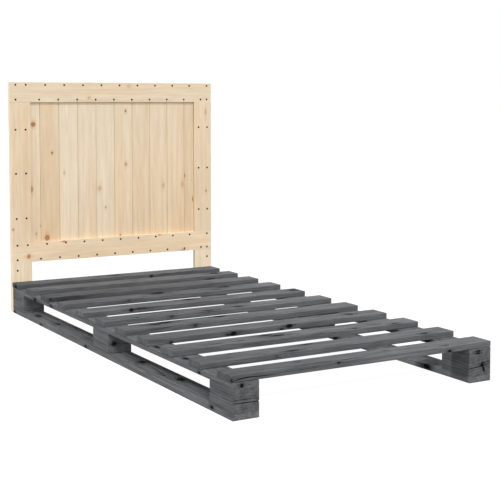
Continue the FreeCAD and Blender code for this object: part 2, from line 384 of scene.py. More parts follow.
class WoodEffects:
    """The node groups that both woods use.

    A scale says how fine a noise is, twice across the log and once along it. A span holds where a
    fade starts and where it ends.
    """

    # Growth rings: how their lines drift, when late wood comes in a year, and how years differ
    slow_drift: Point = (9.0, 9.0, 1.3)
    quick_drift: Point = (70.0, 70.0, 7.0)
    quick_detail: float = 1.0
    quick_share: float = 0.12
    late_rise: Span = (0.38, 0.88)
    late_fall: Span = (0.9, 1.0)
    year_power: float = 1.6
    year_share: float = 0.85
    least_year: float = 0.25

    # Fibres: the scale, octaves and roughness of each kind of streak
    streaks: dict[str, tuple[Point, float, float]] = {
        "Fine": ((1500.0, 1500.0, 22.0), 2.0, 0.6),
        "Middle": ((420.0, 420.0, 4.5), 2.0, 0.6),
        "Broad": ((75.0, 75.0, 1.1), 2.0, 0.5),
        "Mottle": ((52.0, 52.0, 6.5), 4.0, 0.62),
    }

    # Knots: how ragged they are, and the spans of their looks in their own radii
    ragged_scale: float = 1.1
    ragged_detail: float = 4.0
    ragged_roughness: float = 0.65
    swell_share: float = 1.6
    least_swell: float = 0.2
    flare_along: float = 0.5
    flare_across: float = 0.8
    heart_fall: Span = (0.66, 1.04)
    rim_rise: Span = (0.62, 0.95)
    rim_fall: Span = (1.0, 1.3)
    halo_fall: Span = (0.5, 2.2)
    bend_fall: Span = (0.0, 4.5)

    # Rubbed edges: the patches of their wear
    wear_scale: Point = (90.0, 90.0, 24.0)
    wear_detail: float = 3.0
    wear_rise: Span = (0.35, 0.65)

    def __init__(self) -> None:
        """Builds each group once."""
        self.rings = self.growth_rings()
        self.fibres = self.fine_fibres()
        self.knots = self.branch_knots()
        self.edges = self.rubbed_edges()

    def growth_rings(self) -> bpy.types.NodeTree:
        """Builds the rings of the log, as dark late wood between pale early wood.

        Returns:
            The group, which reads a place in the log and gives the share of late wood there.
        """
        inputs = (("Log", "Vector"), ("Spacing", "Float"), ("Wander", "Float"), ("Bend", "Float"))
        desk, taken, given = open_group("growth_rings", inputs, ("Late Wood",))
        place = taken.outputs["Log"]
        parts = desk.parts(place)
        across = desk.sum("POWER", parts[0], 2.0)
        deep = desk.sum("POWER", parts[1], 2.0)
        radius = desk.sum("SQRT", desk.sum("ADD", across, deep))
        slow = desk.grain(place, self.slow_drift)
        quick = desk.grain(place, self.quick_drift, self.quick_detail)
        drift = desk.sum("ADD", slow, desk.sum("MULTIPLY", quick, self.quick_share))
        moved = desk.sum("MULTIPLY_ADD", drift, taken.outputs["Wander"], radius)
        moved = desk.sum("ADD", moved, taken.outputs["Bend"])
        phase = desk.sum("DIVIDE", moved, taken.outputs["Spacing"])
        year = desk.sum("FRACT", phase)
        rise = desk.fade(year, *self.late_rise)
        fall = desk.fade(year, *self.late_fall, 1.0, 0.0)
        number = desk.add("ShaderNodeTexWhiteNoise", noise_dimensions="1D")
        desk.feed(number, "W", desk.sum("FLOOR", phase))
        tone = desk.sum("POWER", number.outputs["Value"], self.year_power)
        strength = desk.sum("MULTIPLY_ADD", tone, self.year_share, self.least_year)
        late = desk.sum("MULTIPLY", desk.sum("MULTIPLY", rise, fall), strength)
        desk.feed(given, "Late Wood", late)
        return desk.tree

    def fine_fibres(self) -> bpy.types.NodeTree:
        """Builds the streaks of the fibres along the grain, from hair-thin ones to broad patches.

        Returns:
            The group, which reads a place in the log.
        """
        desk, taken, given = open_group("fine_fibres", (("Log", "Vector"),), tuple(self.streaks))
        for label, (scale, detail, roughness) in self.streaks.items():
            desk.feed(given, label, desk.grain(taken.outputs["Log"], scale, detail, roughness))
        return desk.tree

    def branch_knots(self) -> bpy.types.NodeTree:
        """Builds the knots of a timber from its knot attributes.

        Returns:
            The group, which gives the knots' hearts, rims and halos, and how the rings bend.
        """
        inputs = [("Knot %d" % (index + 1), "Vector") for index in range(KNOT_SLOTS)]
        looks = ("Heart", "Rim", "Halo", "Bend")
        desk, taken, given = open_group("branch_knots", inputs, looks)
        totals: dict[str, object] = dict.fromkeys(looks, 0.0)
        for label, _ in inputs:
            parts = desk.parts(taken.outputs[label])
            first = desk.sum("POWER", parts[0], 2.0)
            second = desk.sum("POWER", parts[1], 2.0)
            flat = desk.add("ShaderNodeCombineXYZ")
            desk.feed(flat, 0, parts[0])
            desk.feed(flat, 1, parts[1])
            uneven = desk.clouds(
                flat.outputs[0], self.ragged_scale, self.ragged_detail, self.ragged_roughness
            )
            length = desk.sum("SQRT", desk.sum("ADD", first, second))
            swell = desk.sum("MULTIPLY_ADD", uneven, self.swell_share, self.least_swell)
            distance = desk.sum("MULTIPLY", length, swell)
            flare = desk.sum("POWER", desk.sum("MULTIPLY", parts[0], self.flare_along), 2.0)
            flare = desk.sum("SQRT", desk.sum("MULTIPLY_ADD", second, self.flare_across, flare))
            strength = desk.sum("MAXIMUM", parts[2], 0.0)
            inner = desk.fade(distance, *self.rim_rise)
            outer = desk.fade(distance, *self.rim_fall, 1.0, 0.0)
            rim = desk.sum("MULTIPLY", inner, outer)
            found = {
                "Heart": desk.fade(distance, *self.heart_fall, 1.0, 0.0),
                "Rim": desk.sum("MULTIPLY", rim, strength),
                "Halo": desk.fade(desk.sum("MULTIPLY", flare, swell), *self.halo_fall, 1.0, 0.0),
                "Bend": desk.fade(distance, *self.bend_fall, 1.0, 0.0),
            }
            for key, value in found.items():
                value = desk.sum("MULTIPLY", value, strength)
                totals[key] = desk.sum("MAXIMUM", totals[key], value)
        for key, value in totals.items():
            desk.feed(given, key, value)
        return desk.tree

    def rubbed_edges(self) -> bpy.types.NodeTree:
        """Builds the patchy wear along eased edges.

        Returns:
            The group, which reads the edge attribute and a place in the log.
        """
        inputs = (("Log", "Vector"), ("Edge", "Float"))
        desk, taken, given = open_group("rubbed_edges", inputs, ("Worn",))
        patches = desk.grain(taken.outputs["Log"], self.wear_scale, self.wear_detail)
        patches = desk.fade(patches, *self.wear_rise)
        desk.feed(given, "Worn", desk.sum("MULTIPLY", taken.outputs["Edge"], patches))
        return desk.tree


@dataclass(frozen=True)
class WoodFinish:
    """How one of the two woods looks."""

    name: str
    slot: str
    early: Colour
    late: Colour
    cast: Colour
    deep: Colour
    heart: Colour
    rim: Colour
    halo: Colour
    worn: Colour
    # The dark joints' colour, also painted as shade in the seams' grooves and on the inner sides
    joint_shade: Colour
    ring_share: float
    fibre_share: float
    mottle_share: float
    streak_share: float
    halo_share: float
    worn_share: float
    spacing: float
    wander: float
    roughness: float
    specular: float
    relief: float
    # Whether the frame timbers' inner sides get painted shade, darker the deeper behind the front
    shaded_sides: bool

    # What the two woods share. A span holds where a fade starts and where it ends.
    knot_bend: ClassVar[float] = 0.007
    calm_rise: ClassVar[Span] = (0.3, 0.7)
    least_calm: ClassVar[float] = 0.55
    cast_rise: ClassVar[Span] = (0.35, 0.7)
    cast_drift: ClassVar[Span] = (-0.15, 0.35)
    streak_rise: ClassVar[Span] = (0.52, 0.76)
    # Seams: a dark joint line, partly painted shade in the groove, fading away from the seam
    seam_fall: ClassVar[Span] = (0.0014, 0.0022)
    seam_shade: ClassVar[float] = 0.25
    # Painted shade on inner sides: the depth behind the front where it fades in, and its strength
    side_rise: ClassVar[Span] = (0.0002, 0.0016)
    side_painted_shade: ClassVar[float] = 0.85
    heart_rise: ClassVar[Span] = (0.35, 0.7)
    rough_spread: ClassVar[float] = 0.16
    late_polish: ClassVar[float] = 0.05
    late_relief: ClassVar[float] = 0.6
    fine_relief: ClassVar[float] = 0.7
    middle_relief: ClassVar[float] = 0.5
    rim_relief: ClassVar[float] = 0.8
    relief_share: ClassVar[float] = 0.55

    def material(self, effects: WoodEffects) -> bpy.types.Material:
        """Builds the wood's material.

        Args:
            effects: The node groups that the woods share.

        Returns:
            The material.
        """
        material = bpy.data.materials.new(self.name)
        desk = open_desk(material)
        place = desk.read("log").outputs["Vector"]
        tint = desk.parts(desk.read("tint").outputs["Vector"])
        knots = desk.stamp(effects.knots)
        for index in range(KNOT_SLOTS):
            desk.feed(knots, index, desk.read("knot_%d" % (index + 1)).outputs["Vector"])
        bend = desk.sum("MULTIPLY", knots.outputs["Bend"], self.knot_bend)
        spacing = desk.sum("MULTIPLY", tint[2], self.spacing)
        rings = desk.stamp(
            effects.rings, Log=place, Spacing=spacing, Wander=self.wander, Bend=bend
        )
        late = rings.outputs["Late Wood"]
        fibres = desk.stamp(effects.fibres, Log=place).outputs
        fine = fibres["Fine"]
        wear = desk.stamp(effects.edges, Log=place, Edge=desk.read("edge").outputs["Fac"])
        worn = desk.sum("MULTIPLY", wear.outputs["Worn"], self.worn_share)
        colour = self.clear_wood(desk, late, fibres, tint)
        colour = self.marked_wood(desk, colour, knots.outputs, fine, worn)

        shader = desk.add("ShaderNodeBsdfPrincipled")
        desk.feed(shader, "Base Color", colour)
        smoothest = self.roughness - self.rough_spread / 2
        rough = desk.sum("MULTIPLY_ADD", fine, self.rough_spread, smoothest)
        polish = desk.sum("MULTIPLY", late, self.late_polish)
        desk.feed(shader, "Roughness", desk.sum("SUBTRACT", rough, polish))
        height = self.height(desk, late, fibres, knots.outputs["Rim"])
        desk.feed(shader, "Normal", desk.bump(height, self.relief_share, self.relief))
        shader.inputs["Specular IOR Level"].default_value = self.specular
        desk.show(shader.outputs[0])
        return material

    def clear_wood(
        self, desk: NodeDesk, late: object, fibres: bpy.types.NodeOutputs,
        tint: bpy.types.NodeOutputs,
    ) -> bpy.types.NodeSocket:
        """Colours the wood between its marks.

        Args:
            desk: The desk of the wood's material.
            late: The share of late wood.
            fibres: The outputs of the fibres' group.
            tint: The timber's tone and its share of the cast.

        Returns:
            The socket of the colour.
        """
        fine, middle, broad = (fibres[label] for label in ("Fine", "Middle", "Broad"))
        calm = desk.fade(broad, *self.calm_rise, self.least_calm, 1.0)
        ring_share = desk.sum("MULTIPLY", desk.sum("MULTIPLY", late, self.ring_share), calm)
        colour = desk.blend(ring_share, self.early, self.late)
        cast_share = desk.sum("ADD", desk.fade(broad, *self.cast_rise, *self.cast_drift), tint[1])
        colour = desk.blend(cast_share, colour, self.cast)
        streaks = desk.sum("MULTIPLY", desk.fade(middle, *self.streak_rise), self.streak_share)
        colour = desk.blend(streaks, colour, self.deep)
        spread = desk.sum("ADD", desk.sum("SUBTRACT", fine, 0.5), desk.sum("SUBTRACT", middle, 0.5))
        light = desk.sum("MULTIPLY_ADD", spread, self.fibre_share, 1.0)
        patch = desk.sum("SUBTRACT", fibres["Mottle"], 0.5)
        light = desk.sum("MULTIPLY_ADD", patch, self.mottle_share * 2.0, light)
        light = desk.sum("MULTIPLY", light, tint[0])
        shade = desk.add("ShaderNodeCombineXYZ")
        for index in range(3):
            desk.feed(shade, index, light)
        return desk.blend(1.0, colour, shade.outputs[0], "MULTIPLY")

    def marked_wood(
        self, desk: NodeDesk, colour: object, knots: bpy.types.NodeOutputs, fine: object,
        worn: object,
    ) -> bpy.types.NodeSocket:
        """Adds halos, wear, seams with painted shade in their grooves, painted shade on inner sides,
        and knots.

        Args:
            desk: The desk of the wood's material.
            colour: The clear wood's colour.
            knots: The outputs of the knots' group.
            fine: The finest fibres.
            worn: The share of wear.

        Returns:
            The socket of the colour.
        """
        halo = desk.sum("MULTIPLY", knots["Halo"], self.halo_share)
        colour = desk.blend(halo, colour, self.halo)
        colour = desk.blend(worn, colour, self.worn)
        sides = desk.parts(desk.read("sides").outputs["Vector"])
        nearest = desk.sum("MINIMUM", sides[0], sides[1])
        # Seams darken as dark joints and as painted shade in their grooves
        joint_shade = desk.fade(nearest, *self.seam_fall, self.seam_shade, 0.0)
        # Painted shade on the inner sides, darker deeper behind the front
        behind = desk.fade(sides[2], *self.side_rise, 0.0, self.side_painted_shade)
        colour = desk.blend(desk.sum("MAXIMUM", joint_shade, behind), colour, self.joint_shade)
        heart = desk.blend(desk.fade(fine, *self.heart_rise), self.heart, self.rim)
        colour = desk.blend(knots["Heart"], colour, heart)
        return desk.blend(knots["Rim"], colour, self.rim)

    def height(
        self, desk: NodeDesk, late: object, fibres: bpy.types.NodeOutputs, rim: object
    ) -> bpy.types.NodeSocket:
        """Raises late wood and fibres and sinks the rims of knots.

        Args:
            desk: The desk of the wood's material.
            late: The share of late wood.
            fibres: The outputs of the fibres' group.
            rim: The share of the knots' rims.

        Returns:
            The socket of the surface's height.
        """
        fine = desk.sum("MULTIPLY", fibres["Fine"], self.fine_relief)
        middle = desk.sum("MULTIPLY", fibres["Middle"], self.middle_relief)
        height = desk.sum("MULTIPLY_ADD", late, self.late_relief, fine)
        height = desk.sum("ADD", height, middle)
        return desk.sum("SUBTRACT", height, desk.sum("MULTIPLY", rim, self.rim_relief))


@dataclass(frozen=True)
class MetalFinish:
    """How a fastener's metal looks."""

    name: str
    slot: str
    colour: Colour
    worn: Colour
    metallic: float
    roughness: float
    specular: float
    grain: float

    # What the two metals share
    patch_detail: ClassVar[float] = 4.0
    patch_roughness: ClassVar[float] = 0.6
    fine_grain: ClassVar[float] = 6.0
    worn_rise: ClassVar[Span] = (0.4, 0.7)
    rough_spread: ClassVar[float] = 0.25
    rough_drop: ClassVar[float] = 0.12
    relief: ClassVar[float] = 0.0001
    relief_share: ClassVar[float] = 0.3

    def material(self) -> bpy.types.Material:
        """Builds the metal's material.

        Returns:
            The material.
        """
        material = bpy.data.materials.new(self.name)
        desk = open_desk(material)
        place = desk.add("ShaderNodeTexCoord").outputs["Object"]
        patches = desk.clouds(place, self.grain, self.patch_detail, self.patch_roughness)
        fine = desk.clouds(place, self.grain * self.fine_grain)
        colour = desk.blend(desk.fade(patches, *self.worn_rise), self.colour, self.worn)
        smoothest = self.roughness - self.rough_drop
        rough = desk.sum("MULTIPLY_ADD", fine, self.rough_spread, smoothest)
        shader = desk.add("ShaderNodeBsdfPrincipled")
        desk.feed(shader, "Base Color", colour)
        desk.feed(shader, "Roughness", rough)
        desk.feed(shader, "Normal", desk.bump(fine, self.relief_share, self.relief))
        shader.inputs["Metallic"].default_value = self.metallic
        shader.inputs["Specular IOR Level"].default_value = self.specular
        desk.show(shader.outputs[0])
        return material


def linear(red: int, green: int, blue: int) -> Colour:
    """Turns a screen colour into the linear colour that shaders take, by the standard curve.

    Args:
        red: The red, from 0 to 255.
        green: The green.
        blue: The blue.

    Returns:
        The linear colour, from 0 to 1.
    """
    shares = [channel / 255.0 for channel in (red, green, blue)]
    return tuple(
        share / 12.92 if share <= 0.04045 else ((share + 0.055) / 1.055) ** 2.4 for share in shares
    )


NATURAL_PINE = WoodFinish(
    name="natural_pine",
    slot="natural_pine",
    early=linear(239, 223, 198),
    late=linear(228, 201, 155),
    cast=linear(233, 203, 165),
    deep=linear(224, 197, 152),
    heart=linear(190, 134, 94),
    rim=linear(150, 98, 60),
    halo=linear(222, 178, 136),
    worn=linear(244, 230, 208),
    # Dark joints, partly painted shade in grooves, and the painted shade of inner sides
    joint_shade=linear(186, 170, 138),
    ring_share=0.5,
    fibre_share=0.15,
    mottle_share=0.16,
    streak_share=0.3,
    halo_share=0.8,
    worn_share=0.15,
    spacing=0.0042,
    wander=0.014,
    roughness=0.68,
    specular=0.15,
    relief=0.00022,
    # The frame's inner sides get painted shade
    shaded_sides=True,
)

GREY_STAIN = WoodFinish(
    name="grey_stained_pine",
    slot="grey_pine",
    early=linear(105, 106, 108),
    late=linear(50, 51, 53),
    cast=linear(93, 94, 96),
    deep=linear(48, 49, 52),
    heart=linear(16, 16, 18),
    rim=linear(8, 8, 9),
    halo=linear(52, 53, 56),
    worn=linear(108, 109, 111),
    joint_shade=linear(40, 41, 43),
    ring_share=1.0,
    fibre_share=0.4,
    mottle_share=0.9,
    streak_share=0.5,
    halo_share=0.75,
    worn_share=0.2,
    spacing=0.0042,
    wander=0.016,
    roughness=0.8,
    specular=0.04,
    relief=0.0003,
    shaded_sides=False,
)

DARK_SCREW = MetalFinish(
    name="dark_screw",
    slot="dark_screw",
    colour=linear(32, 16, 5),
    worn=linear(42, 24, 10),
    metallic=0.0,
    roughness=0.6,
    specular=0.02,
    grain=900.0,
)

PLATED_BOLT = MetalFinish(
    name="plated_bolt",
    slot="plated_bolt",
    colour=linear(186, 188, 190),
    worn=linear(158, 160, 160),
    metallic=1.0,
    roughness=0.36,
    specular=0.5,
    grain=300.0,
)


def touches(cutter: bpy.types.Object, low: Vector, high: Vector) -> bool:
    """Says whether a cutter's box reaches into another box.

    Args:
        cutter: The cutter.
        low: The other box's lowest corner.
        high: Its highest corner.

    Returns:
        True where they overlap.
    """
    corners = [cutter.matrix_world @ Vector(corner) for corner in cutter.bound_box]
    for axis in range(3):
        values = [corner[axis] for corner in corners]
        if min(values) >= high[axis] or max(values) <= low[axis]:
            return False
    return True


class CutterSet:
    """The solids that screws, bolts and cracks take out of the timbers."""

    def __init__(self) -> None:
        """Starts with no cutters."""
        self.cutters: list[bpy.types.Object] = []

    def add(self, cutter: bpy.types.Object) -> None:
        """Keeps a cutter, out of the render."""
        cutter.hide_render = True
        self.cutters.append(cutter)

    def reaching(self, low: Vector, high: Vector) -> list[bpy.types.Object]:
        """Gives the cutters that reach into a box."""
        return [cutter for cutter in self.cutters if touches(cutter, low, high)]

    def clear(self) -> None:
        """Deletes the cutters when the timbers are bored."""
        for cutter in self.cutters:
            bpy.data.objects.remove(cutter, do_unlink=True)
        self.cutters = []


def pick(piece: bpy.types.Object) -> None:
    """Makes a piece the only one selected, and the active one.

    Args:
        piece: The piece.
    """
    bpy.ops.object.select_all(action="DESELECT")
    piece.select_set(True)
    bpy.context.view_layer.objects.active = piece


def start_disc(name: str, radius: float, sides: int, height: float = 0.0) -> bpy.types.Object:
    """Starts a fastener as a level disc, selected in edit mode.

    Args:
        name: The fastener's name.
        radius: The disc's radius.
        sides: How many sides it has.
        height: How high it lies.

    Returns:
        The fastener.
    """
    bpy.ops.object.select_all(action="DESELECT")
    bpy.ops.mesh.primitive_circle_add(
        vertices=sides, radius=radius, fill_type="NGON", location=(0.0, 0.0, height)
    )
    disc = bpy.context.active_object
    disc.name = name
    bpy.ops.object.transform_apply(location=True, rotation=True, scale=True)
    bpy.ops.object.mode_set(mode="EDIT")
    bpy.ops.mesh.select_mode(type=MeshPart.FACE.value)
    bpy.ops.mesh.select_all(action="SELECT")
    return disc


def draw_up(rise: float, share: float) -> None:
    """Extrudes what is selected upwards and scales its new end."""
    bpy.ops.mesh.extrude_region_move(TRANSFORM_OT_translate={"value": (0.0, 0.0, rise)})
    bpy.ops.transform.resize(value=(share, share, 1.0))


def take_level_face(piece: bpy.types.Object, height: float) -> None:
    """Selects the one level face at a height.

    Args:
        piece: The piece, in edit mode.
        height: The face's height.
    """
    bpy.ops.mesh.select_all(action="DESELECT")
    mesh = bmesh.from_edit_mesh(piece.data)
    for face in mesh.faces:
        level = all(abs(corner.co.z - height) < SAME_PLACE for corner in face.verts)
        face.select_set(level)
    bmesh.update_edit_mesh(piece.data)


def close_up() -> None:
    """Turns every face of the edited piece outwards and leaves edit mode."""
    bpy.ops.mesh.select_all(action="SELECT")
    bpy.ops.mesh.normals_make_consistent(inside=False)
    bpy.ops.object.mode_set(mode="OBJECT")


class Blank:
    """A piece on the bench, which is shaped in edit mode as by hand."""

    smooth_angle: float = 40.0
    normal_weight: int = 100

    def __init__(self, name: str, low: Vector, high: Vector) -> None:
        """Saws a block of timber.

        Args:
            name: The piece's name.
            low: The block's lowest corner.
            high: The block's highest corner.
        """
        bpy.ops.object.select_all(action="DESELECT")
        bpy.ops.mesh.primitive_cube_add(
            size=1.0, location=(low + high) / 2, scale=high - low, calc_uvs=False
        )
        self.body = bpy.context.active_object
        self.body.name = name
        self.body.data.name = name
        self.low = low
        self.high = high
        bpy.ops.object.transform_apply(location=True, rotation=True, scale=True)

    def shape(
        self, kind: MeshPart, wanted: Callable[[object], bool], work: Callable[[], None]
    ) -> None:
        """Selects some edges or faces in edit mode and works on them.

        Args:
            kind: What is selected.
            wanted: Says of an edge or face whether it is selected.
            work: Runs the operators.
        """
        pick(self.body)
        bpy.ops.object.mode_set(mode="EDIT")
        bpy.ops.mesh.select_mode(type=kind.value)
        bpy.ops.mesh.select_all(action="DESELECT")
        mesh = bmesh.from_edit_mesh(self.body.data)
        for item in mesh.edges if kind is MeshPart.EDGE else mesh.faces:
            if wanted(item):
                item.select_set(True)
        bmesh.update_edit_mesh(self.body.data)
        work()
        bpy.ops.object.mode_set(mode="OBJECT")

    def ease(self, wanted: Callable[[object], bool], width: float, steps: int) -> None:
        """Rounds or chamfers edges.

        Args:
            wanted: Says of an edge whether it is eased.
            width: The easing's width.
            steps: Its facets, where one gives a chamfer.
        """
        self.shape(
            MeshPart.EDGE,
            wanted,
            lambda: bpy.ops.mesh.bevel(
                offset_type="OFFSET", offset=width, segments=steps, profile=0.5, affect="EDGES",
                clamp_overlap=True,
            ),
        )

    def runs_along(self, axis: Axis) -> Callable[[object], bool]:
        """Gives a test for edges that run along an axis.

        Args:
            axis: The axis.

        Returns:
            The test.
        """

        def test(edge: bmesh.types.BMEdge) -> bool:
            """Says whether an edge runs along the axis."""
            reach = edge.verts[1].co - edge.verts[0].co
            return reach.length > SAME_PLACE and abs(reach.normalized()[axis.value]) > RUNS_ALONG

        return test

    def at_end(self, axis: Axis) -> Callable[[object], bool]:
        """Gives a test for the edges round a timber's two ends.

        Args:
            axis: The axis that the timber runs along.

        Returns:
            The test.
        """
        places = (self.low[axis.value], self.high[axis.value])

        def test(edge: bmesh.types.BMEdge) -> bool:
            """Says whether both corners of an edge lie in one end."""
            first, second = (corner.co[axis.value] for corner in edge.verts)
            return any(max(abs(first - at), abs(second - at)) < SAME_PLACE for at in places)

        return test

    def bore(self, cutters: Sequence[bpy.types.Object]) -> None:
        """Cuts holes in the piece.

        Args:
            cutters: The solids to cut away.
        """
        for cutter in cutters:
            pick(self.body)
            cut = self.body.modifiers.new("bore", "BOOLEAN")
            cut.operation = "DIFFERENCE"
            cut.solver = "EXACT"
            cut.object = cutter
            bpy.ops.object.modifier_apply(modifier=cut.name)

    def smooth(self) -> None:
        """Shades the eased edges smoothly and keeps the flat faces flat."""
        pick(self.body)
        bpy.ops.object.shade_smooth_by_angle(angle=math.radians(self.smooth_angle))
        weigh = self.body.modifiers.new("weigh", "WEIGHTED_NORMAL")
        weigh.keep_sharp = True
        weigh.weight = self.normal_weight
        bpy.ops.object.modifier_apply(modifier=weigh.name)


@dataclass
class Timber:
    """A board, beam or block, sawn to stand for a node of the frame."""

    node: str
    grain: Axis
    finish: WoodFinish
    easing: float
    end_easing: float = 0.0007
    steps: int = 3
    end_steps: int = 2
    tone: float = 1.0
    tone_rise: float = 0.0
    warmth: float = 0.0
    warmth_rise: float = 0.0
    flat: Axis = Axis.UP
    pith: float = 0.05
    spacing: float = 1.0
    knots: Sequence[Knot] = ()

    # How the timber may lie in its log: beside the heart in breadths, from it in pith depths, and
    # leaning by shares of its length. Painted shade darkens sides some easings in from an outer
    # face.
    heart_beside: ClassVar[Span] = (-0.42, 0.42)
    heart_below: ClassVar[Span] = (0.55, 1.5)
    lean_beside: ClassVar[Span] = (-0.012, 0.012)
    lean_below: ClassVar[Span] = (0.006, 0.022)
    log_start: ClassVar[Span] = (0.0, 40.0)
    outer_easings: ClassVar[float] = 1.5

    def saw(self) -> Blank:
        """Saws the timber and eases its edges.

        Returns:
            The shaped blank.
        """
        low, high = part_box(self.node)
        blank = Blank(self.node + "_dressed", low, high)
        blank.ease(blank.runs_along(self.grain), self.easing, self.steps)
        blank.ease(blank.at_end(self.grain), self.end_easing, self.end_steps)
        return blank

    def build(self, materials: dict[str, bpy.types.Material], cutters: CutterSet) -> None:
        """Builds the timber, bores it and dresses it.

        Args:
            materials: The materials by name.
            cutters: What may be cut out of it.
        """
        blank = self.saw()
        blank.bore(cutters.reaching(blank.low, blank.high))
        blank.smooth()
        self.mark(blank.body, blank.low, blank.high)
        hand_over(blank.body, materials[self.finish.name], self.node)

    def mark(self, piece: bpy.types.Object, low: Vector, high: Vector) -> None:
        """Writes the attributes that the wood's material reads, with painted shade inside cracks and
        bores.

        Args:
            piece: The timber's object.
            low: Its lowest corner.
            high: Its highest corner.
        """
        mesh = piece.data
        points = np.empty(len(mesh.vertices) * 3)
        mesh.vertices.foreach_get("co", points)
        points = points.reshape(-1, 3)
        write_numbers(mesh, "log", self.log_places(points, low, high))
        write_numbers(mesh, "edge", edge_shares(points, low, high))
        start, end = low[self.grain.value], high[self.grain.value]
        share = (points[:, self.grain.value] - start) / (end - start) - 0.5
        tone = self.tone * (1.0 + self.tone_rise * share)
        depths = np.minimum(points - np.array(low), np.array(high) - points)
        # Painted shade: points deep inside, in cracks and bores, are darkened
        tone[(depths > CUT_DEPTH).all(axis=1)] *= CUT_SHADE_TONE
        warmth = self.warmth + self.warmth_rise * share
        tint = np.column_stack((tone, warmth, np.full(len(points), self.spacing)))
        write_numbers(mesh, "tint", tint)
        write_numbers(mesh, "sides", self.side_reaches(points, low, high))
        for index in range(KNOT_SLOTS):
            if index < len(self.knots):
                values = self.knots[index].spread(points, self.grain)
            else:
                values = np.tile(NO_KNOT, (len(points), 1))
            write_numbers(mesh, "knot_%d" % (index + 1), values)

    def side_reaches(self, points: np.ndarray, low: Vector, high: Vector) -> np.ndarray:
        """Measures how far points lie behind the front, for the painted shade on the frame timbers'
        inner sides.

        Args:
            points: Places on the timber.
            low: The timber's lowest corner.
            high: Its highest corner, which is not used.

        Returns:
            A seam's distance on either side, though there is none, and that from the front, which
            is nought on the headboard's outer sides and where the wood's sides get no painted shade.
        """
        away = np.full(len(points), NO_SEAM)
        behind = np.zeros(len(points))
        if self.finish.shaded_sides:
            left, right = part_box("top_rail")
            inwards = np.minimum(points[:, 0] - left.x, right.x - points[:, 0])
            # Painted shade, growing behind the front, only away from the headboard's outer sides
            shade_here = inwards > self.easing * self.outer_easings
            behind = np.where(shade_here, points[:, 1] - low.y, 0.0)
        return np.column_stack((away, away, behind))

    def log_places(self, points: np.ndarray, low: Vector, high: Vector) -> np.ndarray:
        """Works out where each point lay in its log.

        The log's heart runs nearly along the timber, below or beside it, so that its rings cut the
        faces in long lines and arches, and the ends in arcs.

        Args:
            points: Places on the timber.
            low: The timber's lowest corner.
            high: Its highest corner.

        Returns:
            Two distances from the heart and one along it, for each point.
        """
        dice = random.Random(self.node)
        middle = np.array((low + high) / 2)
        side = next(axis for axis in Axis if axis not in (self.grain, self.flat))
        reach = points - middle
        along = reach[:, self.grain.value]
        breadth = high[side.value] - low[side.value]
        offset = dice.uniform(*self.heart_beside) * breadth
        depth = self.pith * dice.uniform(*self.heart_below) * dice.choice((-1, 1))
        lean_side = dice.uniform(*self.lean_beside)
        lean_deep = dice.uniform(*self.lean_below) * dice.choice((-1, 1))
        first = reach[:, side.value] - offset + lean_side * along
        second = reach[:, self.flat.value] - depth + lean_deep * along
        return np.column_stack((first, second, along + dice.uniform(*self.log_start)))


def write_numbers(mesh: bpy.types.Mesh, name: str, values: np.ndarray) -> None:
    """Writes an attribute of one or three numbers to a mesh's points.

    Args:
        mesh: The mesh.
        name: The attribute's name.
        values: One number or one row for each point.
    """
    kind, key = ("FLOAT", "value") if values.ndim == 1 else ("FLOAT_VECTOR", "vector")
    attribute = mesh.attributes.new(name, kind, "POINT")
    attribute.data.foreach_set(key, np.ascontiguousarray(values, dtype=np.float32).ravel())


def edge_shares(points: np.ndarray, low: Vector, high: Vector) -> np.ndarray:
    """Finds the points inside a timber's eased edges.

    Args:
        points: Places on the timber.
        low: The timber's lowest corner.
        high: Its highest corner.

    Returns:
        One for a point between two faces, and nought elsewhere.
    """
    start, end = EASED_SPAN
    gaps = np.minimum(points - np.array(low), np.array(high) - points)
    inside = (gaps > start) & (gaps < end)
    return (inside.sum(axis=1) >= 2).astype(float)


def hand_over(
    piece: bpy.types.Object, material: bpy.types.Material, node: str
) -> None:
    """Gives a finished piece its material, and gives it to the frame in place of its node.

    Args:
        piece: The piece.
        material: Its material.
        node: The node that it stands for.
    """
    piece.data.materials.clear()
    piece.data.materials.append(material)
    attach(piece, "root")
    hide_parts(node)
    log.info("%s: %d faces", piece.name, len(piece.data.polygons))


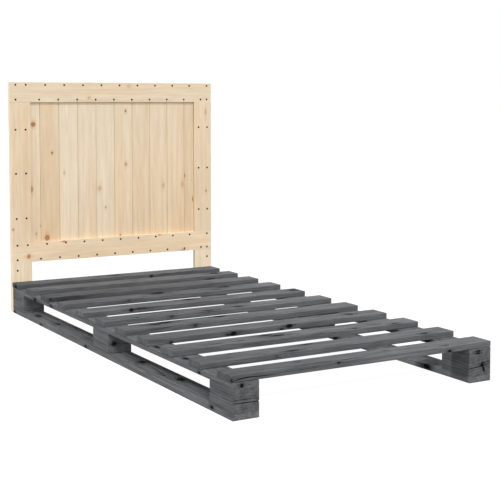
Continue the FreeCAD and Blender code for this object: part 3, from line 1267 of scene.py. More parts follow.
@dataclass
class GroovedBoard(Timber):
    """A board of the headboard, with its tongue, groove and bevelled front edges."""

    bevel: float = 0.0015
    tongue: float = 0.006
    tongue_thickness: float = 0.005
    clearance: float = 0.0003
    gap: float = 0.00028
    tongue_out: bool = True
    groove_in: bool = True

    # How far a side strip's middle may lie from the middle of the board's thickness
    middle_slack: ClassVar[float] = 1e-4

    def saw(self) -> Blank:
        """Saws the board, splits its edges in three, and draws the tongue out and the groove in.

        Returns:
            The shaped blank.
        """
        low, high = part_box(self.node)
        if self.tongue_out:
            high = high - Vector((self.tongue + self.gap, 0.0, 0.0))
        if self.groove_in:
            low = low + Vector((self.gap, 0.0, 0.0))
        blank = Blank(self.node + "_dressed", low, high)
        middle = (low.y + high.y) / 2
        half = self.tongue_thickness / 2
        if self.tongue_out:
            self.split(blank, (middle - half, middle + half), high.x)
            self.draw(blank, high.x, self.tongue + self.gap, middle)
        if self.groove_in:
            wide = half + self.clearance
            self.split(blank, (middle - wide, middle + wide), low.x)
            self.draw(blank, low.x, self.tongue + self.clearance, middle)
        front = low.y

        def front_edge(edge: bmesh.types.BMEdge) -> bool:
            """Says whether an edge is a long one of the front face."""
            upright = blank.runs_along(Axis.UP)(edge)
            return upright and all(abs(corner.co.y - front) < SAME_PLACE for corner in edge.verts)

        blank.ease(front_edge, self.bevel, 1)
        return blank

    def side_reaches(self, points: np.ndarray, low: Vector, high: Vector) -> np.ndarray:
        """Measures how far points are from the board's seams.

        Args:
            points: Places on the board.
            low: Its lowest corner, without the groove.
            high: Its highest corner, without the tongue.

        Returns:
            The distances from the seam on either side, and nought, for each point.
        """
        none = np.full(len(points), NO_SEAM)
        left = points[:, 0] - low.x if self.groove_in else none
        right = high.x - points[:, 0] if self.tongue_out else none
        return np.column_stack((left, right, np.zeros(len(points))))

    def split(self, blank: Blank, planes: Sequence[float], side: float) -> None:
        """Splits the side face of a board along its length.

        Args:
            blank: The board.
            planes: Where the cuts run, from front to back.
            side: Where the side face is.
        """
        for plane in planes:
            blank.shape(
                MeshPart.FACE,
                lambda face: self.on_side(face, side) or abs(face.normal.z) > LOOKS_ALONG,
                lambda plane=plane: bpy.ops.mesh.bisect(
                    plane_co=(0.0, plane, 0.0), plane_no=(0.0, 1.0, 0.0)
                ),
            )

    @staticmethod
    def on_side(face: bmesh.types.BMFace, side: float) -> bool:
        """Says whether a face is part of a side of the board."""
        away = abs(face.calc_center_median().x - side)
        return abs(face.normal.x) > LOOKS_ALONG and away < NEAR_PLACE

    def draw(self, blank: Blank, side: float, reach: float, middle: float) -> None:
        """Draws the middle strip of a side face across the bed.

        Args:
            blank: The board.
            side: Where the side face is.
            reach: How far the strip is drawn.
            middle: The middle of the board's thickness.
        """
        blank.shape(
            MeshPart.FACE,
            lambda face: self.on_side(face, side)
            and abs(face.calc_center_median().y - middle) < self.middle_slack,
            lambda: bpy.ops.mesh.extrude_region_move(
                TRANSFORM_OT_translate={"value": (reach, 0.0, 0.0)}
            ),
        )


@dataclass(frozen=True)
class Crack:
    """A drying crack in the foot's faces, which follows a course across and up."""

    name: str
    course: tuple[Point, ...]
    depth: float = 0.0045
    stand_off: float = 0.001

    def cutter(self, front: float) -> bpy.types.Object:
        """Models the crack's void, as a strip drawn on to its course and extruded.

        Each point of the course holds its place across, its height and half the crack's width.

        Args:
            front: Where the cracked face is.

        Returns:
            The solid to cut away.
        """
        bpy.ops.object.select_all(action="DESELECT")
        bpy.ops.mesh.primitive_grid_add(
            x_subdivisions=len(self.course) - 1, y_subdivisions=1, size=2.0,
            location=(0.0, front - self.stand_off, 0.0), rotation=(math.pi / 2, 0.0, 0.0),
        )
        void = bpy.context.active_object
        void.name = self.name
        bpy.ops.object.transform_apply(location=True, rotation=True, scale=True)
        bpy.ops.object.mode_set(mode="EDIT")
        mesh = bmesh.from_edit_mesh(void.data)
        last = len(self.course) - 1
        for corner in mesh.verts:
            # The grid runs from -1 to 1, with a column of corners for each point of the course
            index = round((corner.co.x + 1.0) / 2.0 * last)
            across, height, half = self.course[index]
            before, after = self.course[max(index - 1, 0)], self.course[min(index + 1, last)]
            run = Vector((after[0] - before[0], after[1] - before[1])).normalized()
            side = half if corner.co.z > 0.0 else -half
            corner.co.x = across - run.y * side
            corner.co.z = height + run.x * side
        bmesh.update_edit_mesh(void.data)
        bpy.ops.mesh.select_all(action="SELECT")
        bpy.ops.mesh.extrude_region_move(
            TRANSFORM_OT_translate={"value": (0.0, self.depth + self.stand_off, 0.0)}
        )
        close_up()
        return void


@dataclass
class PalletBase:
    """The grey base: runners, blocks, stringers and slats."""

    beam_easing: float = 0.0025
    block_easing: float = 0.0012
    slat_easing: float = 0.0016
    slat_tones: tuple[float, ...] = (0.955, 0.97, 1.05, 0.97, 1.0, 1.0, 1.06, 0.95, 0.82, 0.92, 0.81)
    beam_tones: tuple[tuple[str, float], ...] = (("runner", 1.15), ("stringer", 1.07))
    block_tones: tuple[tuple[str, float], ...] = (("foot", 0.84), ("middle", 0.98), ("head", 0.9))
    block_pith: float = 0.4
    block_spacing: float = 2.2
    slat_rises: tuple[float, ...] = (0.44, 0.2, 0.12, 0.18, 0.15, 0.2, 0.02, 0.2, 0.48, 0.3, 0.2)

    def knots(self) -> dict[str, list[Knot]]:
        """Lists the knots of the base that the photograph shows.

        Returns:
            The knots by node.
        """
        across, length, up = Axis.ACROSS, Axis.LENGTH, Axis.UP
        return {
            "slat_01": [
                Knot((0.323, -1.0155, 0.119), 0.0042, length, 1.0, 1.4),
                Knot((-0.118, -1.0155, 0.132), 0.0032, length, 0.9, 1.8),
                Knot((-0.230, -0.950, 0.135), 0.009, up, 0.35, 1.8),
                Knot((0.322, -0.997, 0.135), 0.005, up, 0.6, 2.2),
                Knot((0.099, -0.957, 0.135), 0.004, up, 0.6, 2.5),
                # A dark streak painted at the slat's left front corner: painted shade standing in
                # for a crack
                Knot((-0.4985, -1.0155, 0.1225), 0.0046, length, 1.0, 0.32),
            ],
            "slat_02": [
                Knot((-0.158, -0.810, 0.135), 0.007, up, 1.0, 3.2),
                Knot((-0.228, -0.824, 0.127), 0.004, length, 0.35),
                Knot((-0.070, -0.751, 0.135), 0.008, up, 0.75, 3.6),
                Knot((0.384, -0.805, 0.135), 0.010, up, 0.9),
                Knot((-0.359, -0.747, 0.135), 0.007, up, 0.6, 1.2),
            ],
            "slat_03": [
                Knot((0.225, -0.612, 0.135), 0.007, up, 0.8, 1.6),
                Knot((0.403, -0.612, 0.135), 0.008, up, 0.8, 1.6),
                Knot((-0.226, -0.590, 0.135), 0.006, up, 0.5, 3.0),
                Knot((-0.078, -0.582, 0.135), 0.009, up, 1.0, 2.8),
                Knot((-0.112, -0.560, 0.135), 0.008, up, 0.95, 3.0),
            ],
            "slat_04": [
                Knot((-0.168, -0.434, 0.125), 0.0062, length, 1.0, 1.8),
                Knot((-0.190, -0.434, 0.123), 0.003, length, 0.9, 2.0),
                Knot((0.063, -0.434, 0.129), 0.006, length, 1.0, 2.0),
                Knot((0.031, -0.434, 0.121), 0.003, length, 0.8, 2.5),
                Knot((0.363, -0.382, 0.135), 0.010, up, 0.9, 1.6),
                Knot((-0.412, -0.434, 0.118), 0.005, length, 0.8, 1.2),
            ],
            "slat_05": [
                Knot((-0.082, -0.174, 0.135), 0.012, up, 1.0, 2.0),
                Knot((-0.312, -0.181, 0.135), 0.011, up, 1.0, 2.2),
                Knot((-0.358, -0.195, 0.135), 0.010, up, 0.85, 2.0),
                Knot((-0.221, -0.246, 0.128), 0.005, length, 0.6, 1.6),
            ],
            "slat_06": [
                Knot((0.080, -0.028, 0.135), 0.012, up, 0.75, 1.6),
                Knot((-0.063, -0.046, 0.135), 0.010, up, 0.7, 2.2),
                Knot((-0.361, -0.037, 0.135), 0.008, up, 0.6, 1.2),
                Knot((-0.225, -0.060, 0.129), 0.005, length, 0.5, 1.8),
            ],
            "slat_07": [
                Knot((-0.302, 0.139, 0.129), 0.0055, length, 1.0, 1.3),
                Knot((0.475, 0.189, 0.135), 0.016, up, 1.0, 1.3),
                Knot((-0.018, 0.212, 0.135), 0.015, up, 0.95, 1.6),
                Knot((-0.262, 0.139, 0.131), 0.004, length, 0.6, 7.0),
            ],
            "slat_08": [
                Knot((0.256, 0.412, 0.135), 0.018, up, 0.85, 1.5),
                Knot((-0.061, 0.409, 0.135), 0.018, up, 1.0, 1.5),
                Knot((0.203, 0.368, 0.135), 0.012, up, 0.5, 1.8),
                Knot((-0.224, 0.338, 0.129), 0.005, length, 0.4, 2.0),
            ],
            "slat_09": [
                Knot((-0.415, 0.529, 0.124), 0.008, length, 0.32, 12.0),
                Knot((-0.490, 0.529, 0.127), 0.004, length, 0.8, 1.6),
            ],
            "slat_10": [
                Knot((0.404, 0.777, 0.135), 0.020, up, 0.95, 0.9),
                Knot((0.353, 0.7185, 0.119), 0.004, length, 0.7, 6.0),
            ],
            "slat_11": [
                Knot((-0.500, 0.937, 0.121), 0.008, across, 1.0, 1.5),
                Knot((0.139, 0.8965, 0.125), 0.0048, length, 1.0, 1.2),
                Knot((-0.027, 0.955, 0.135), 0.016, up, 0.95, 1.7),
            ],
            "left_runner": [
                Knot((-0.463, 0.748, 0.020), 0.010, up, 1.0, 1.6),
                Knot((-0.454, 0.539, 0.020), 0.010, up, 0.8, 1.6),
                Knot((-0.436, -0.555, 0.020), 0.011, up, 1.0, 1.6),
                Knot((-0.497, -0.887, 0.013), 0.0045, across, 1.0, 1.6),
                Knot((-0.497, 0.626, 0.006), 0.005, across, 0.9, 1.6),
                Knot((-0.497, 0.131, 0.007), 0.0055, across, 1.0, 1.5),
                Knot((-0.441, -0.261, 0.020), 0.013, up, 1.0, 1.1),
                Knot((-0.497, 0.964, 0.004), 0.006, across, 0.9, 2.0),
            ],
            "left_head_block": [Knot((-0.497, 0.882, 0.077), 0.004, across, 0.55, 0.8)],
            "left_stringer": [
                Knot((-0.476, -0.458, 0.115), 0.008, up, 1.0, 1.6),
                Knot((-0.470, -0.661, 0.115), 0.008, up, 1.0, 1.6),
                Knot((-0.465, -1.0155, 0.104), 0.0055, length, 1.0, 0.9),
                Knot((-0.497, 0.504, 0.103), 0.006, across, 0.8, 1.6),
                Knot((-0.497, 0.698, 0.101), 0.007, across, 1.0, 1.6),
                Knot((-0.497, -0.803, 0.102), 0.005, across, 0.9, 1.2),
            ],
            "left_middle_block": [Knot((-0.473, -0.087, 0.057), 0.007, length, 0.9)],
            "right_runner": [
                Knot((0.408, -0.222, 0.012), 0.006, across, 1.0, 2.2),
                Knot((0.408, -0.790, 0.014), 0.008, across, 1.0, 1.8),
            ],
            "right_stringer": [
                Knot((0.447, -1.0155, 0.1058), 0.0024, length, 1.0, 3.4),
                Knot((0.445, -1.0155, 0.0985), 0.0026, length, 1.0, 3.6),
                Knot((0.408, -0.793, 0.105), 0.006, across, 0.8, 1.8),
            ],
            "right_foot_block": [
                Knot((0.464, -1.0155, 0.057), 0.0048, length, 1.0, 1.2),
            ],
        }

    def timbers(self) -> list[Timber]:
        """Lists the timbers of the base.

        Returns:
            The timbers, from the floor up.
        """
        found = []
        for side in Side:
            for part, tone in self.beam_tones:
                node = "%s_%s" % (side.value, part)
                found.append(Timber(node, Axis.LENGTH, GREY_STAIN, self.beam_easing, tone=tone))
            for place, tone in self.block_tones:
                node = "%s_%s_block" % (side.value, place)
                block = Timber(node, Axis.LENGTH, GREY_STAIN, self.block_easing, tone=tone)
                block.pith = self.block_pith
                block.spacing = self.block_spacing
                found.append(block)
        for number, (tone, rise) in enumerate(zip(self.slat_tones, self.slat_rises), start=1):
            node = "slat_%02d" % number
            slat = Timber(node, Axis.ACROSS, GREY_STAIN, self.slat_easing, tone=tone)
            slat.tone_rise = rise
            found.append(slat)
        knots = self.knots()
        for timber in found:
            timber.knots = knots.get(timber.node, ())
        return found

    @staticmethod
    def cracks() -> list[Crack]:
        """Lists the drying cracks that the photograph shows at the foot.

        Returns:
            The cracks, whose courses are written here in millimetres.
        """
        courses = {
            "left_block_crack": (
                (-498, 52.4, 1.4), (-471, 51.2, 1.4), (-450, 50.7, 1.6), (-437, 50.1, 1.3),
                (-420, 49.9, 1.2), (-410, 49.8, 1.7), (-404, 49.8, 1.9),
            ),
            "left_block_check": (
                (-498, 62.5, 0.45), (-472, 61.3, 0.4), (-454, 60.2, 0.35), (-430, 60.0, 0.2),
            ),
            "left_joint": (
                (-501, 116.2, 0.5), (-470, 115.3, 0.9), (-440, 115.2, 0.9), (-404, 115.1, 0.6),
            ),
            "slat_crack": (
                (-497.5, 119.6, 1.3), (-484, 121.2, 1.5), (-471, 124.0, 1.8), (-454, 125.6, 2.0),
                (-437, 126.0, 1.8), (-411, 124.9, 1.4), (-385, 123.9, 1.2), (-350, 123.3, 0.7),
                (-325, 122.9, 0.2),
            ),
            "right_joint": (
                (380, 115.6, 0.3), (410, 115.3, 0.8), (440, 115.2, 0.8), (470, 115.2, 0.9),
                (499, 115.2, 1.0),
            ),
            "right_block_crack": (
                (407, 48.9, 1.0), (414, 50.4, 1.3), (431, 50.9, 1.4), (447, 51.7, 1.4),
                (455, 53.4, 1.5), (461, 55.3, 1.6), (466, 56.3, 1.6),
            ),
            "right_block_tail": (
                (470, 53.3, 0.7), (478, 54.0, 1.2), (485, 56.2, 1.1), (489, 57.4, 0.4),
            ),
            "right_block_split": (
                (465.5, 54.0, 2.4), (467.5, 48.5, 4.0), (470.0, 43.0, 5.6), (472.0, 37.0, 4.2),
                (473.8, 28.0, 0.5),
            ),
            "right_block_hook": (
                (459.8, 60.0, 1.6), (461.5, 64.2, 2.0), (466.0, 66.2, 2.1), (472.0, 65.0, 1.9),
                (478.0, 60.6, 0.8),
            ),
            "right_block_curl": (
                (486.0, 70.5, 0.7), (482.6, 68.0, 1.0), (484.0, 65.0, 1.0), (488.0, 64.4, 0.5),
            ),
        }
        found = []
        for name, points in courses.items():
            course = tuple(tuple(value * MILLIMETRE for value in point) for point in points)
            found.append(Crack(name, course))
        return found

    def build(self, materials: dict[str, bpy.types.Material], cutters: CutterSet) -> None:
        """Builds the whole base.

        Args:
            materials: The materials by name.
            cutters: What the screws and bolts cut away.
        """
        for crack in self.cracks():
            cutters.add(crack.cutter(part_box("slat_01")[0].y))
        for timber in self.timbers():
            timber.build(materials, cutters)


@dataclass
class Headboard:
    """The pine headboard: boarding behind a frame of rails, stiles and legs."""

    easing: float = 0.001
    board_tones: tuple[float, ...] = (
        1.01, 0.96, 1.0, 0.99, 0.99, 0.99, 0.96, 0.98, 0.985, 0.95,
    )
    board_casts: tuple[float, ...] = (0.25, 0.6, 0.0, 0.15, 0.0, 0.3, 0.45, 0.4, 0.5, 0.55)
    board_tone_rise: float = -0.01
    board_cast_rise: float = -0.65
    side_board_cast: float = 0.2

    # The tone and the cast of each kind of frame timber. The bottom rail and the legs are painted
    # paler, as painted light in place of what the base keeps off the headboard's lower part.
    rail_looks: tuple[tuple[str, float, float], ...] = (("top", 0.945, 0.25), ("bottom", 1.03, 0.45))
    post_looks: tuple[tuple[str, float, float], ...] = (("stile", 0.96, 0.45), ("leg", 1.03, 0.2))

    def knots(self) -> dict[str, list[Knot]]:
        """Lists the knots of the headboard that the photograph shows.

        Returns:
            The knots by node.
        """
        deep = Axis.LENGTH
        front, face = 0.9995, 0.9845
        return {
            "board_01": [
                Knot((-0.389, front, 0.835), 0.0085, deep, 0.95, 0.95),
                Knot((-0.401, front, 0.545), 0.0055, deep, 0.85, 2.4),
                Knot((-0.381, front, 0.343), 0.005, deep, 0.4),
                Knot((-0.360, front, 0.379), 0.003, deep, 0.5, 1.6),
            ],
            "board_02": [
                Knot((-0.302, front, 0.706), 0.0042, deep, 0.9),
                Knot((-0.329, front, 0.323), 0.0095, deep, 0.9, 1.2),
            ],
            "board_03": [Knot((-0.245, front, 0.614), 0.0045, deep, 0.35, 2.0)],
            "board_05": [
                Knot((-0.073, front, 0.537), 0.009, deep, 0.35),
                Knot((-0.044, front, 0.447), 0.0032, deep, 0.7),
            ],
            "board_06": [
                Knot((0.059, front, 0.892), 0.0040, deep, 0.9),
                Knot((0.059, front, 0.644), 0.006, deep, 0.55),
                Knot((0.029, front, 0.313), 0.005, deep, 0.6),
            ],
            "board_08": [Knot((0.251, front, 0.538), 0.006, deep, 0.4, 2.0)],
            "board_09": [Knot((0.352, front, 0.539), 0.006, deep, 0.4, 2.3)],
            "board_10": [
                Knot((0.365, front, 0.581), 0.0022, deep, 0.9, 3.6),
                Knot((0.407, front, 0.466), 0.0022, deep, 0.9, 5.0),
            ],
            "top_rail": [
                Knot((-0.128, face, 0.953), 0.008, deep, 0.35, 0.9),
                Knot((0.070, face, 1.007), 0.009, deep, 0.25),
            ],
            "bottom_rail": [
                Knot((-0.422, face, 0.246), 0.008, deep, 0.8, 0.85),
                Knot((0.224, face, 0.305), 0.004, deep, 0.5, 1.6),
                Knot((0.350, face, 0.223), 0.005, deep, 0.55, 2.4),
                Knot((-0.255, face, 0.303), 0.0032, deep, 0.8, 2.2),
            ],
            "left_stile": [Knot((-0.492, face, 0.370), 0.004, deep, 0.7)],
            "right_stile": [
                Knot((0.473, face, 0.505), 0.0035, deep, 0.8, 1.8),
                Knot((0.471, face, 0.886), 0.0045, deep, 0.4, 3.4),
            ],
        }

    def timbers(self) -> list[Timber]:
        """Lists the timbers of the headboard.

        Returns:
            The timbers of the frame, and then the boards.
        """
        flat = Axis.LENGTH
        found: list[Timber] = []
        for part, tone, cast in self.rail_looks:
            rail = Timber(part + "_rail", Axis.ACROSS, NATURAL_PINE, self.easing, flat=flat)
            rail.tone = tone
            rail.warmth = cast
            found.append(rail)
        for side in Side:
            for part, tone, cast in self.post_looks:
                node = "%s_%s" % (side.value, part)
                post = Timber(node, Axis.UP, NATURAL_PINE, self.easing, tone=tone, flat=flat)
                post.warmth = cast
                found.append(post)
        for side in Side:
            node = side.value + "_side_board"
            board = GroovedBoard(node, Axis.UP, NATURAL_PINE, easing=0.0, flat=flat)
            board.warmth = self.side_board_cast
            board.tongue_out = side is Side.LEFT
            board.groove_in = side is Side.RIGHT
            found.append(board)
        for index, (tone, cast) in enumerate(zip(self.board_tones, self.board_casts), start=1):
            node = "board_%02d" % index
            board = GroovedBoard(node, Axis.UP, NATURAL_PINE, easing=0.0, flat=flat)
            board.tone = tone
            board.tone_rise = self.board_tone_rise
            board.warmth = cast
            board.warmth_rise = self.board_cast_rise
            found.append(board)
        knots = self.knots()
        for timber in found:
            timber.knots = knots.get(timber.node, ())
        return found

    def build(self, materials: dict[str, bpy.types.Material], cutters: CutterSet) -> None:
        """Builds the whole headboard.

        Args:
            materials: The materials by name.
            cutters: What the screws and bolts cut away.
        """
        for timber in self.timbers():
            timber.build(materials, cutters)


@dataclass
class Screw:
    """A countersunk wood screw with a six-lobed recess."""

    length: float
    head_radius: float = 0.0051
    head_depth: float = 0.0024
    shank_radius: float = 0.0019
    shank_taper: float = 0.94
    tip: float = 0.004
    tip_run: float = 0.9
    tip_taper: float = 0.12
    sunk: float = 0.0004
    recess_radius: float = 0.0023
    recess_depth: float = 0.0012
    recess_taper: float = 0.86
    rim_inset: float = 0.0001
    rim_share: float = 1.03
    lobe_share: float = 0.74
    sides: int = 12

    def model(self, name: str) -> bpy.types.Object:
        """Models one screw with its head at the origin and its tip up the Z axis.

        Args:
            name: The screw's name.

        Returns:
            The screw.
        """
        screw = start_disc(name, self.head_radius, self.sides, self.sunk)
        draw_up(self.head_depth - self.sunk, self.shank_radius / self.head_radius)
        draw_up(self.length - self.tip - self.head_depth, self.shank_taper)
        draw_up(self.tip * self.tip_run, self.tip_taper)
        take_level_face(screw, self.sunk)
        bpy.ops.mesh.inset(thickness=self.rim_inset)
        share = self.recess_radius / self.head_radius * self.rim_share
        bpy.ops.transform.resize(value=(share, share, 1.0))
        self.pinch(screw)
        draw_up(self.recess_depth, self.recess_taper)
        close_up()
        return screw

    def pinch(self, screw: bpy.types.Object) -> None:
        """Draws every other corner of the recess inwards, which gives it six lobes.

        Args:
            screw: The screw, in edit mode with the recess selected.
        """
        mesh = bmesh.from_edit_mesh(screw.data)
        face = next(face for face in mesh.faces if face.select)
        for index, corner in enumerate(face.verts):
            if index % 2:
                corner.co.x *= self.lobe_share
                corner.co.y *= self.lobe_share
        bmesh.update_edit_mesh(screw.data)


@dataclass
class HexBolt:
    """A flanged hexagon bolt."""

    length: float = 0.080
    shank_radius: float = 0.0039
    sides: int = 24
    end_chamfer: float = 0.001
    end_taper: float = 0.8
    flange_radius: float = 0.0086
    flange_height: float = 0.0013
    flange_taper: float = 0.94
    across_corners: float = 0.0074
    head_height: float = 0.0054
    head_share: float = 0.82

    # How the head goes on from its flange: shares of its height, and of its breadth so far
    head_steps: tuple[Span, ...] = ((0.86, 1.0), (0.14, 0.86), (0.0, 0.7), (-0.12, 0.9))

    def model(self, name: str) -> bpy.types.Object:
        """Models one bolt with its seat at the origin and its end up the Z axis.

        Args:
            name: The bolt's name.

        Returns:
            The bolt.
        """
        bolt = start_disc(name, self.shank_radius, self.sides)
        draw_up(self.length - self.end_chamfer, 1.0)
        draw_up(self.end_chamfer, self.end_taper)
        take_level_face(bolt, 0.0)
        draw_up(0.0, self.flange_radius / self.shank_radius)
        draw_up(-self.flange_height, self.flange_taper)
        draw_up(0.0, self.head_share)
        self.six_sides(bolt)
        top = self.head_height - self.flange_height
        for rise, share in self.head_steps:
            draw_up(-top * rise, share)
        close_up()
        return bolt

    def six_sides(self, bolt: bpy.types.Object) -> None:
        """Draws the corners of the selected round face on to a hexagon.

        Args:
            bolt: The bolt, in edit mode.
        """
        mesh = bmesh.from_edit_mesh(bolt.data)
        face = next(face for face in mesh.faces if face.select)
        flat = self.across_corners * math.cos(math.pi / 6)
        for corner in face.verts:
            turn = math.atan2(corner.co.y, corner.co.x)
            off = (turn % (math.pi / 3)) - math.pi / 6
            reach = flat / math.cos(off)
            corner.co.x = reach * math.cos(turn)
            corner.co.y = reach * math.sin(turn)
        bmesh.update_edit_mesh(bolt.data)


@dataclass
class Fasteners:
    """All screws and bolts, each group in the place of its node."""

    # The node, the length and the axis of each set of screws
    screws: tuple[tuple[str, float, Axis], ...] = (
        ("rail_screws", 0.028, Axis.LENGTH),
        ("stile_screws", 0.028, Axis.LENGTH),
        ("leg_screws", 0.028, Axis.LENGTH),
        ("slat_screws", 0.034, Axis.UP),
        ("block_screws", 0.110, Axis.UP),
    )
    sink_radius: float = 0.0052
    sink_end_radius: float = 0.0022
    sink_depth: float = 0.0031
    sink_middle: float = 0.00125
    sink_sides: int = 16
    bolt_head_height: float = 0.0055
    recess_radius: float = 0.012
    recess_run: float = 0.02
    recess_sides: int = 32
    smooth_angle: float = 35.0

    def places(self, node: str) -> list[Vector]:
        """Finds the middle of each fastener of a node.

        Args:
            node: A node of separate fasteners.

        Returns:
            The middle of each fastener's box.
        """
        mesh = bmesh.new()
        mesh.from_mesh(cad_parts[node].data)
        bmesh.ops.remove_doubles(mesh, verts=mesh.verts, dist=NEAR_PLACE)
        left = set(mesh.verts)
        middles = []
        while left:
            stack = [left.pop()]
            found = []
            while stack:
                corner = stack.pop()
                found.append(corner.co.copy())
                for edge in corner.link_edges:
                    other = edge.other_vert(corner)
                    if other in left:
                        left.remove(other)
                        stack.append(other)
            low = Vector([min(point[axis] for point in found) for axis in range(3)])
            high = Vector([max(point[axis] for point in found) for axis in range(3)])
            middles.append((low + high) / 2)
        mesh.free()
        # Rounded, so that a difference in the last digits can't change the order
        return sorted(middles, key=lambda point: tuple(round(value, 4) for value in point))

    def lay_out(
        self, node: str, pattern: bpy.types.Object, facing: Axis, heads: Sequence[Vector],
        backwards: bool = False,
    ) -> bpy.types.Object:
        """Copies a fastener to each of its places and joins the copies.

        Args:
            node: The node that the set stands for.
            pattern: The fastener, with its axis up.
            facing: The axis that the fasteners point along.
            heads: Where their heads are.
            backwards: Whether they point down that axis.

        Returns:
            The joined set.
        """
        dice = random.Random(node)
        tilt = 0.0 if facing is Axis.UP else -math.pi / 2
        if backwards:
            tilt = -tilt
        copies = []
        for head in heads:
            pick(pattern)
            bpy.ops.object.duplicate(linked=False)
            copy = bpy.context.active_object
            copy.data.transform(Matrix.Rotation(dice.uniform(0.0, math.tau), 4, "Z"))
            copy.rotation_euler = (tilt, 0.0, 0.0)
            copy.location = head
            bpy.ops.object.transform_apply(location=True, rotation=True, scale=True)
            copies.append(copy)
        bpy.ops.object.select_all(action="DESELECT")
        for copy in copies:
            copy.select_set(True)
        bpy.context.view_layer.objects.active = copies[0]
        bpy.ops.object.join()
        joined = bpy.context.active_object
        joined.name = node + "_dressed"
        joined.data.name = joined.name
        bpy.ops.object.shade_smooth_by_angle(angle=math.radians(self.smooth_angle))
        bpy.data.objects.remove(pattern, do_unlink=True)
        return joined

    def build(self, materials: dict[str, bpy.types.Material], cutters: CutterSet) -> None:
        """Builds every fastener and the cutters of the visible screws and bolts.

        Args:
            materials: The materials by name.
            cutters: Takes the cutters.
        """
        for node, length, facing in self.screws:
            heads = []
            for middle in self.places(node):
                head = middle.copy()
                head[facing.value] -= length / 2
                heads.append(head)
            pattern = Screw(length).model(node + "_pattern")
            piece = self.lay_out(node, pattern, facing, heads)
            hand_over(piece, materials[DARK_SCREW.name], node)
            self.cut_countersinks(node, heads, facing, cutters)
        seats = self.places("headboard_bolts")
        for seat in seats:
            seat.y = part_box("headboard_bolts")[1].y - self.bolt_head_height
        pattern = HexBolt().model("bolt_pattern")
        piece = self.lay_out("headboard_bolts", pattern, Axis.LENGTH, seats, backwards=True)
        hand_over(piece, materials[PLATED_BOLT.name], "headboard_bolts")
        self.cut_recesses(seats, cutters)

    def cut_countersinks(
        self, node: str, heads: Sequence[Vector], facing: Axis, cutters: CutterSet
    ) -> None:
        """Makes the cutters of the screws' countersinks.

        Args:
            node: The screws' node.
            heads: Where their heads are.
            facing: The axis that they point along.
            cutters: Takes the cutters.
        """
        direction = facing.vector()
        for index, head in enumerate(heads):
            bpy.ops.object.select_all(action="DESELECT")
            bpy.ops.mesh.primitive_cone_add(
                vertices=self.sink_sides, radius1=self.sink_radius, radius2=self.sink_end_radius,
                depth=self.sink_depth, location=head + direction * self.sink_middle,
                rotation=direction.to_track_quat("Z", "Y").to_euler(),
            )
            cone = bpy.context.active_object
            cone.name = "%s_cutter_%02d" % (node, index)
            bpy.ops.object.transform_apply(location=True, rotation=True, scale=True)
            cutters.add(cone)

    def cut_recesses(self, seats: Sequence[Vector], cutters: CutterSet) -> None:
        """Makes the cutters of the bolts' recesses.

        Args:
            seats: Where the bolts' heads are seated.
            cutters: Takes the cutters.
        """
        for index, seat in enumerate(seats):
            bpy.ops.object.select_all(action="DESELECT")
            bpy.ops.mesh.primitive_cylinder_add(
                vertices=self.recess_sides, radius=self.recess_radius, depth=self.recess_run,
                location=(seat.x, seat.y + self.recess_run / 2, seat.z),
                rotation=(math.pi / 2, 0.0, 0.0),
            )
            drum = bpy.context.active_object
            drum.name = "bolt_cutter_%d" % index
            bpy.ops.object.transform_apply(location=True, rotation=True, scale=True)
            cutters.add(drum)


@dataclass(frozen=True)
class Lamp:
    """A far, soft lamp. Its heading turns from the foot of the bed towards its left side."""

    name: str
    strength: float
    heading: float
    height: float
    spread: float

    # A sun lights alike from anywhere, so this only keeps it clear of the bed
    place: ClassVar[Point] = (0.0, 0.0, 4.0)

    def hang(self) -> None:
        """Hangs the lamp."""
        bpy.ops.object.select_all(action="DESELECT")
        bpy.ops.object.light_add(type="SUN", location=self.place)
        lamp = bpy.context.active_object
        lamp.name = self.name
        # A sun of this energy, met head on, shows a white surface as 1 at a strength of 1
        lamp.data.energy = self.strength * math.pi
        lamp.data.angle = math.radians(self.spread)
        tilt = math.radians(90.0 - self.height)
        lamp.rotation_euler = (tilt, 0.0, -math.radians(self.heading))


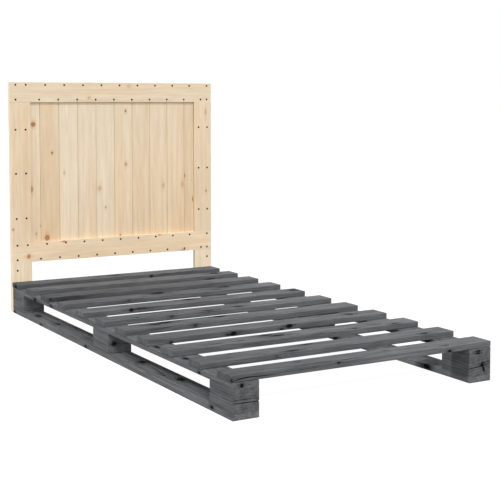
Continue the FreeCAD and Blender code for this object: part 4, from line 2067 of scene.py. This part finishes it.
@dataclass
class Studio:
    """A pale floor, a soft sky and a few soft lamps."""

    floor_span: float = 60.0
    floor_height: float = -0.0003
    floor_tones: Span = (0.86, 0.9)
    floor_patches: float = 0.6
    floor_roughness: float = 0.9
    seen_tone: float = 0.35
    sky: float = 0.34
    floor_glow: float = 1.12
    floor_share: float = 0.85
    lamps: Sequence[Lamp] = (
        Lamp("high_lamp", 0.56, 86.0, 50.0, 8.0),
        Lamp("front_lamp", 0.4, 18.0, 38.0, 12.0),
        Lamp("low_lamp", 0.28, 15.0, 6.0, 30.0),
        Lamp("side_lamp", 0.14, 60.0, 8.0, 30.0),
        Lamp("far_lamp", 0.2, 285.0, 10.0, 40.0),
        Lamp("back_lamp", 0.46, 205.0, 6.0, 40.0),
    )

    def lay_floor(self) -> None:
        """Lays the floor, which is white to the camera and keeps the object's shadow."""
        bpy.ops.object.select_all(action="DESELECT")
        bpy.ops.mesh.primitive_plane_add(
            size=self.floor_span, location=(0.0, 0.0, self.floor_height)
        )
        floor = bpy.context.active_object
        floor.name = "studio_floor"
        bpy.ops.object.transform_apply(location=True, rotation=True, scale=True)
        material = bpy.data.materials.new("studio_floor")
        desk = open_desk(material)
        place = desk.add("ShaderNodeTexCoord").outputs["Object"]
        seen = self.seen_share(desk)
        patches = desk.clouds(place, self.floor_patches)
        darker, paler = ((tone, tone, tone) for tone in self.floor_tones)
        tone = desk.blend(patches, darker, paler)
        shader = desk.add("ShaderNodeBsdfPrincipled")
        desk.feed(shader, "Base Color", desk.blend(seen, (self.seen_tone,) * 3, tone))
        shader.inputs["Roughness"].default_value = self.floor_roughness
        shader.inputs["Specular IOR Level"].default_value = 0.0
        glow = desk.add("ShaderNodeEmission")
        desk.feed(glow, "Strength", self.floor_glow)
        share = desk.sum("MULTIPLY", seen, self.floor_share)
        desk.show(desk.mix(share, shader.outputs[0], glow.outputs[0]))
        floor.data.materials.append(material)

    @staticmethod
    def seen_share(desk: NodeDesk) -> bpy.types.NodeSocket:
        """Finds the rays that see the backdrop: the camera's, glossy ones and those through glass.

        Args:
            desk: The desk of the tree that asks.

        Returns:
            A socket of one for such a ray, and of nought for light.
        """
        path = desk.add("ShaderNodeLightPath")
        seen = desk.sum("MAXIMUM", path.outputs["Is Camera Ray"], path.outputs["Is Glossy Ray"])
        return desk.sum("MAXIMUM", seen, path.outputs["Is Transmission Ray"])

    def light_sky(self) -> None:
        """Lights the world evenly, and shows it white behind the object."""
        world = bpy.data.worlds.new("studio_sky")
        desk = open_desk(world)
        soft = desk.add("ShaderNodeBackground")
        desk.feed(soft, "Strength", self.sky)
        white = desk.add("ShaderNodeBackground")
        for node in (soft, white):
            desk.feed(node, "Color", (1.0, 1.0, 1.0, 1.0))
        seen = self.seen_share(desk)
        mixed = desk.mix(seen, soft.outputs[0], white.outputs[0])
        desk.show(mixed, "ShaderNodeOutputWorld")
        bpy.context.scene.world = world

    def build(self) -> None:
        """Builds the studio."""
        self.lay_floor()
        self.light_sky()
        for lamp in self.lamps:
            lamp.hang()
        bpy.context.scene.view_settings.view_transform = "Standard"


@dataclass
class StudioCamera:
    """The camera, at the photograph's viewing angle."""

    place: Point = (-2.117, -3.923, 0.949)
    heading: float = 30.02
    tilt_down: float = 3.8
    focal_length: float = 82.73
    drop: float = -0.15
    sensor_width: float = 36.0
    clip: Span = (0.05, 200.0)

    def build(self) -> None:
        """Sets up the camera and makes it the scene's own."""
        bpy.ops.object.select_all(action="DESELECT")
        bpy.ops.object.camera_add(location=self.place)
        camera = bpy.context.active_object
        camera.name = "studio_camera"
        tilt = math.radians(90.0 - self.tilt_down)
        camera.rotation_euler = (tilt, 0.0, -math.radians(self.heading))
        camera.data.sensor_width = self.sensor_width
        camera.data.sensor_fit = "HORIZONTAL"
        camera.data.lens = self.focal_length
        camera.data.shift_y = self.drop
        camera.data.clip_start, camera.data.clip_end = self.clip
        bpy.context.scene.camera = camera


def main() -> None:
    """Builds the bed's looks, the studio and the camera, in order."""
    logging.basicConfig(level=logging.INFO, format="%(message)s")
    StudioCamera().build()
    Studio().build()
    effects = WoodEffects()
    materials = {finish.name: finish.material(effects) for finish in (NATURAL_PINE, GREY_STAIN)}
    for metal in (DARK_SCREW, PLATED_BOLT):
        materials[metal.name] = metal.material()
    cutters = CutterSet()
    Fasteners().build(materials, cutters)
    PalletBase().build(materials, cutters)
    Headboard().build(materials, cutters)
    cutters.clear()


if __name__ == "__main__":
    main()
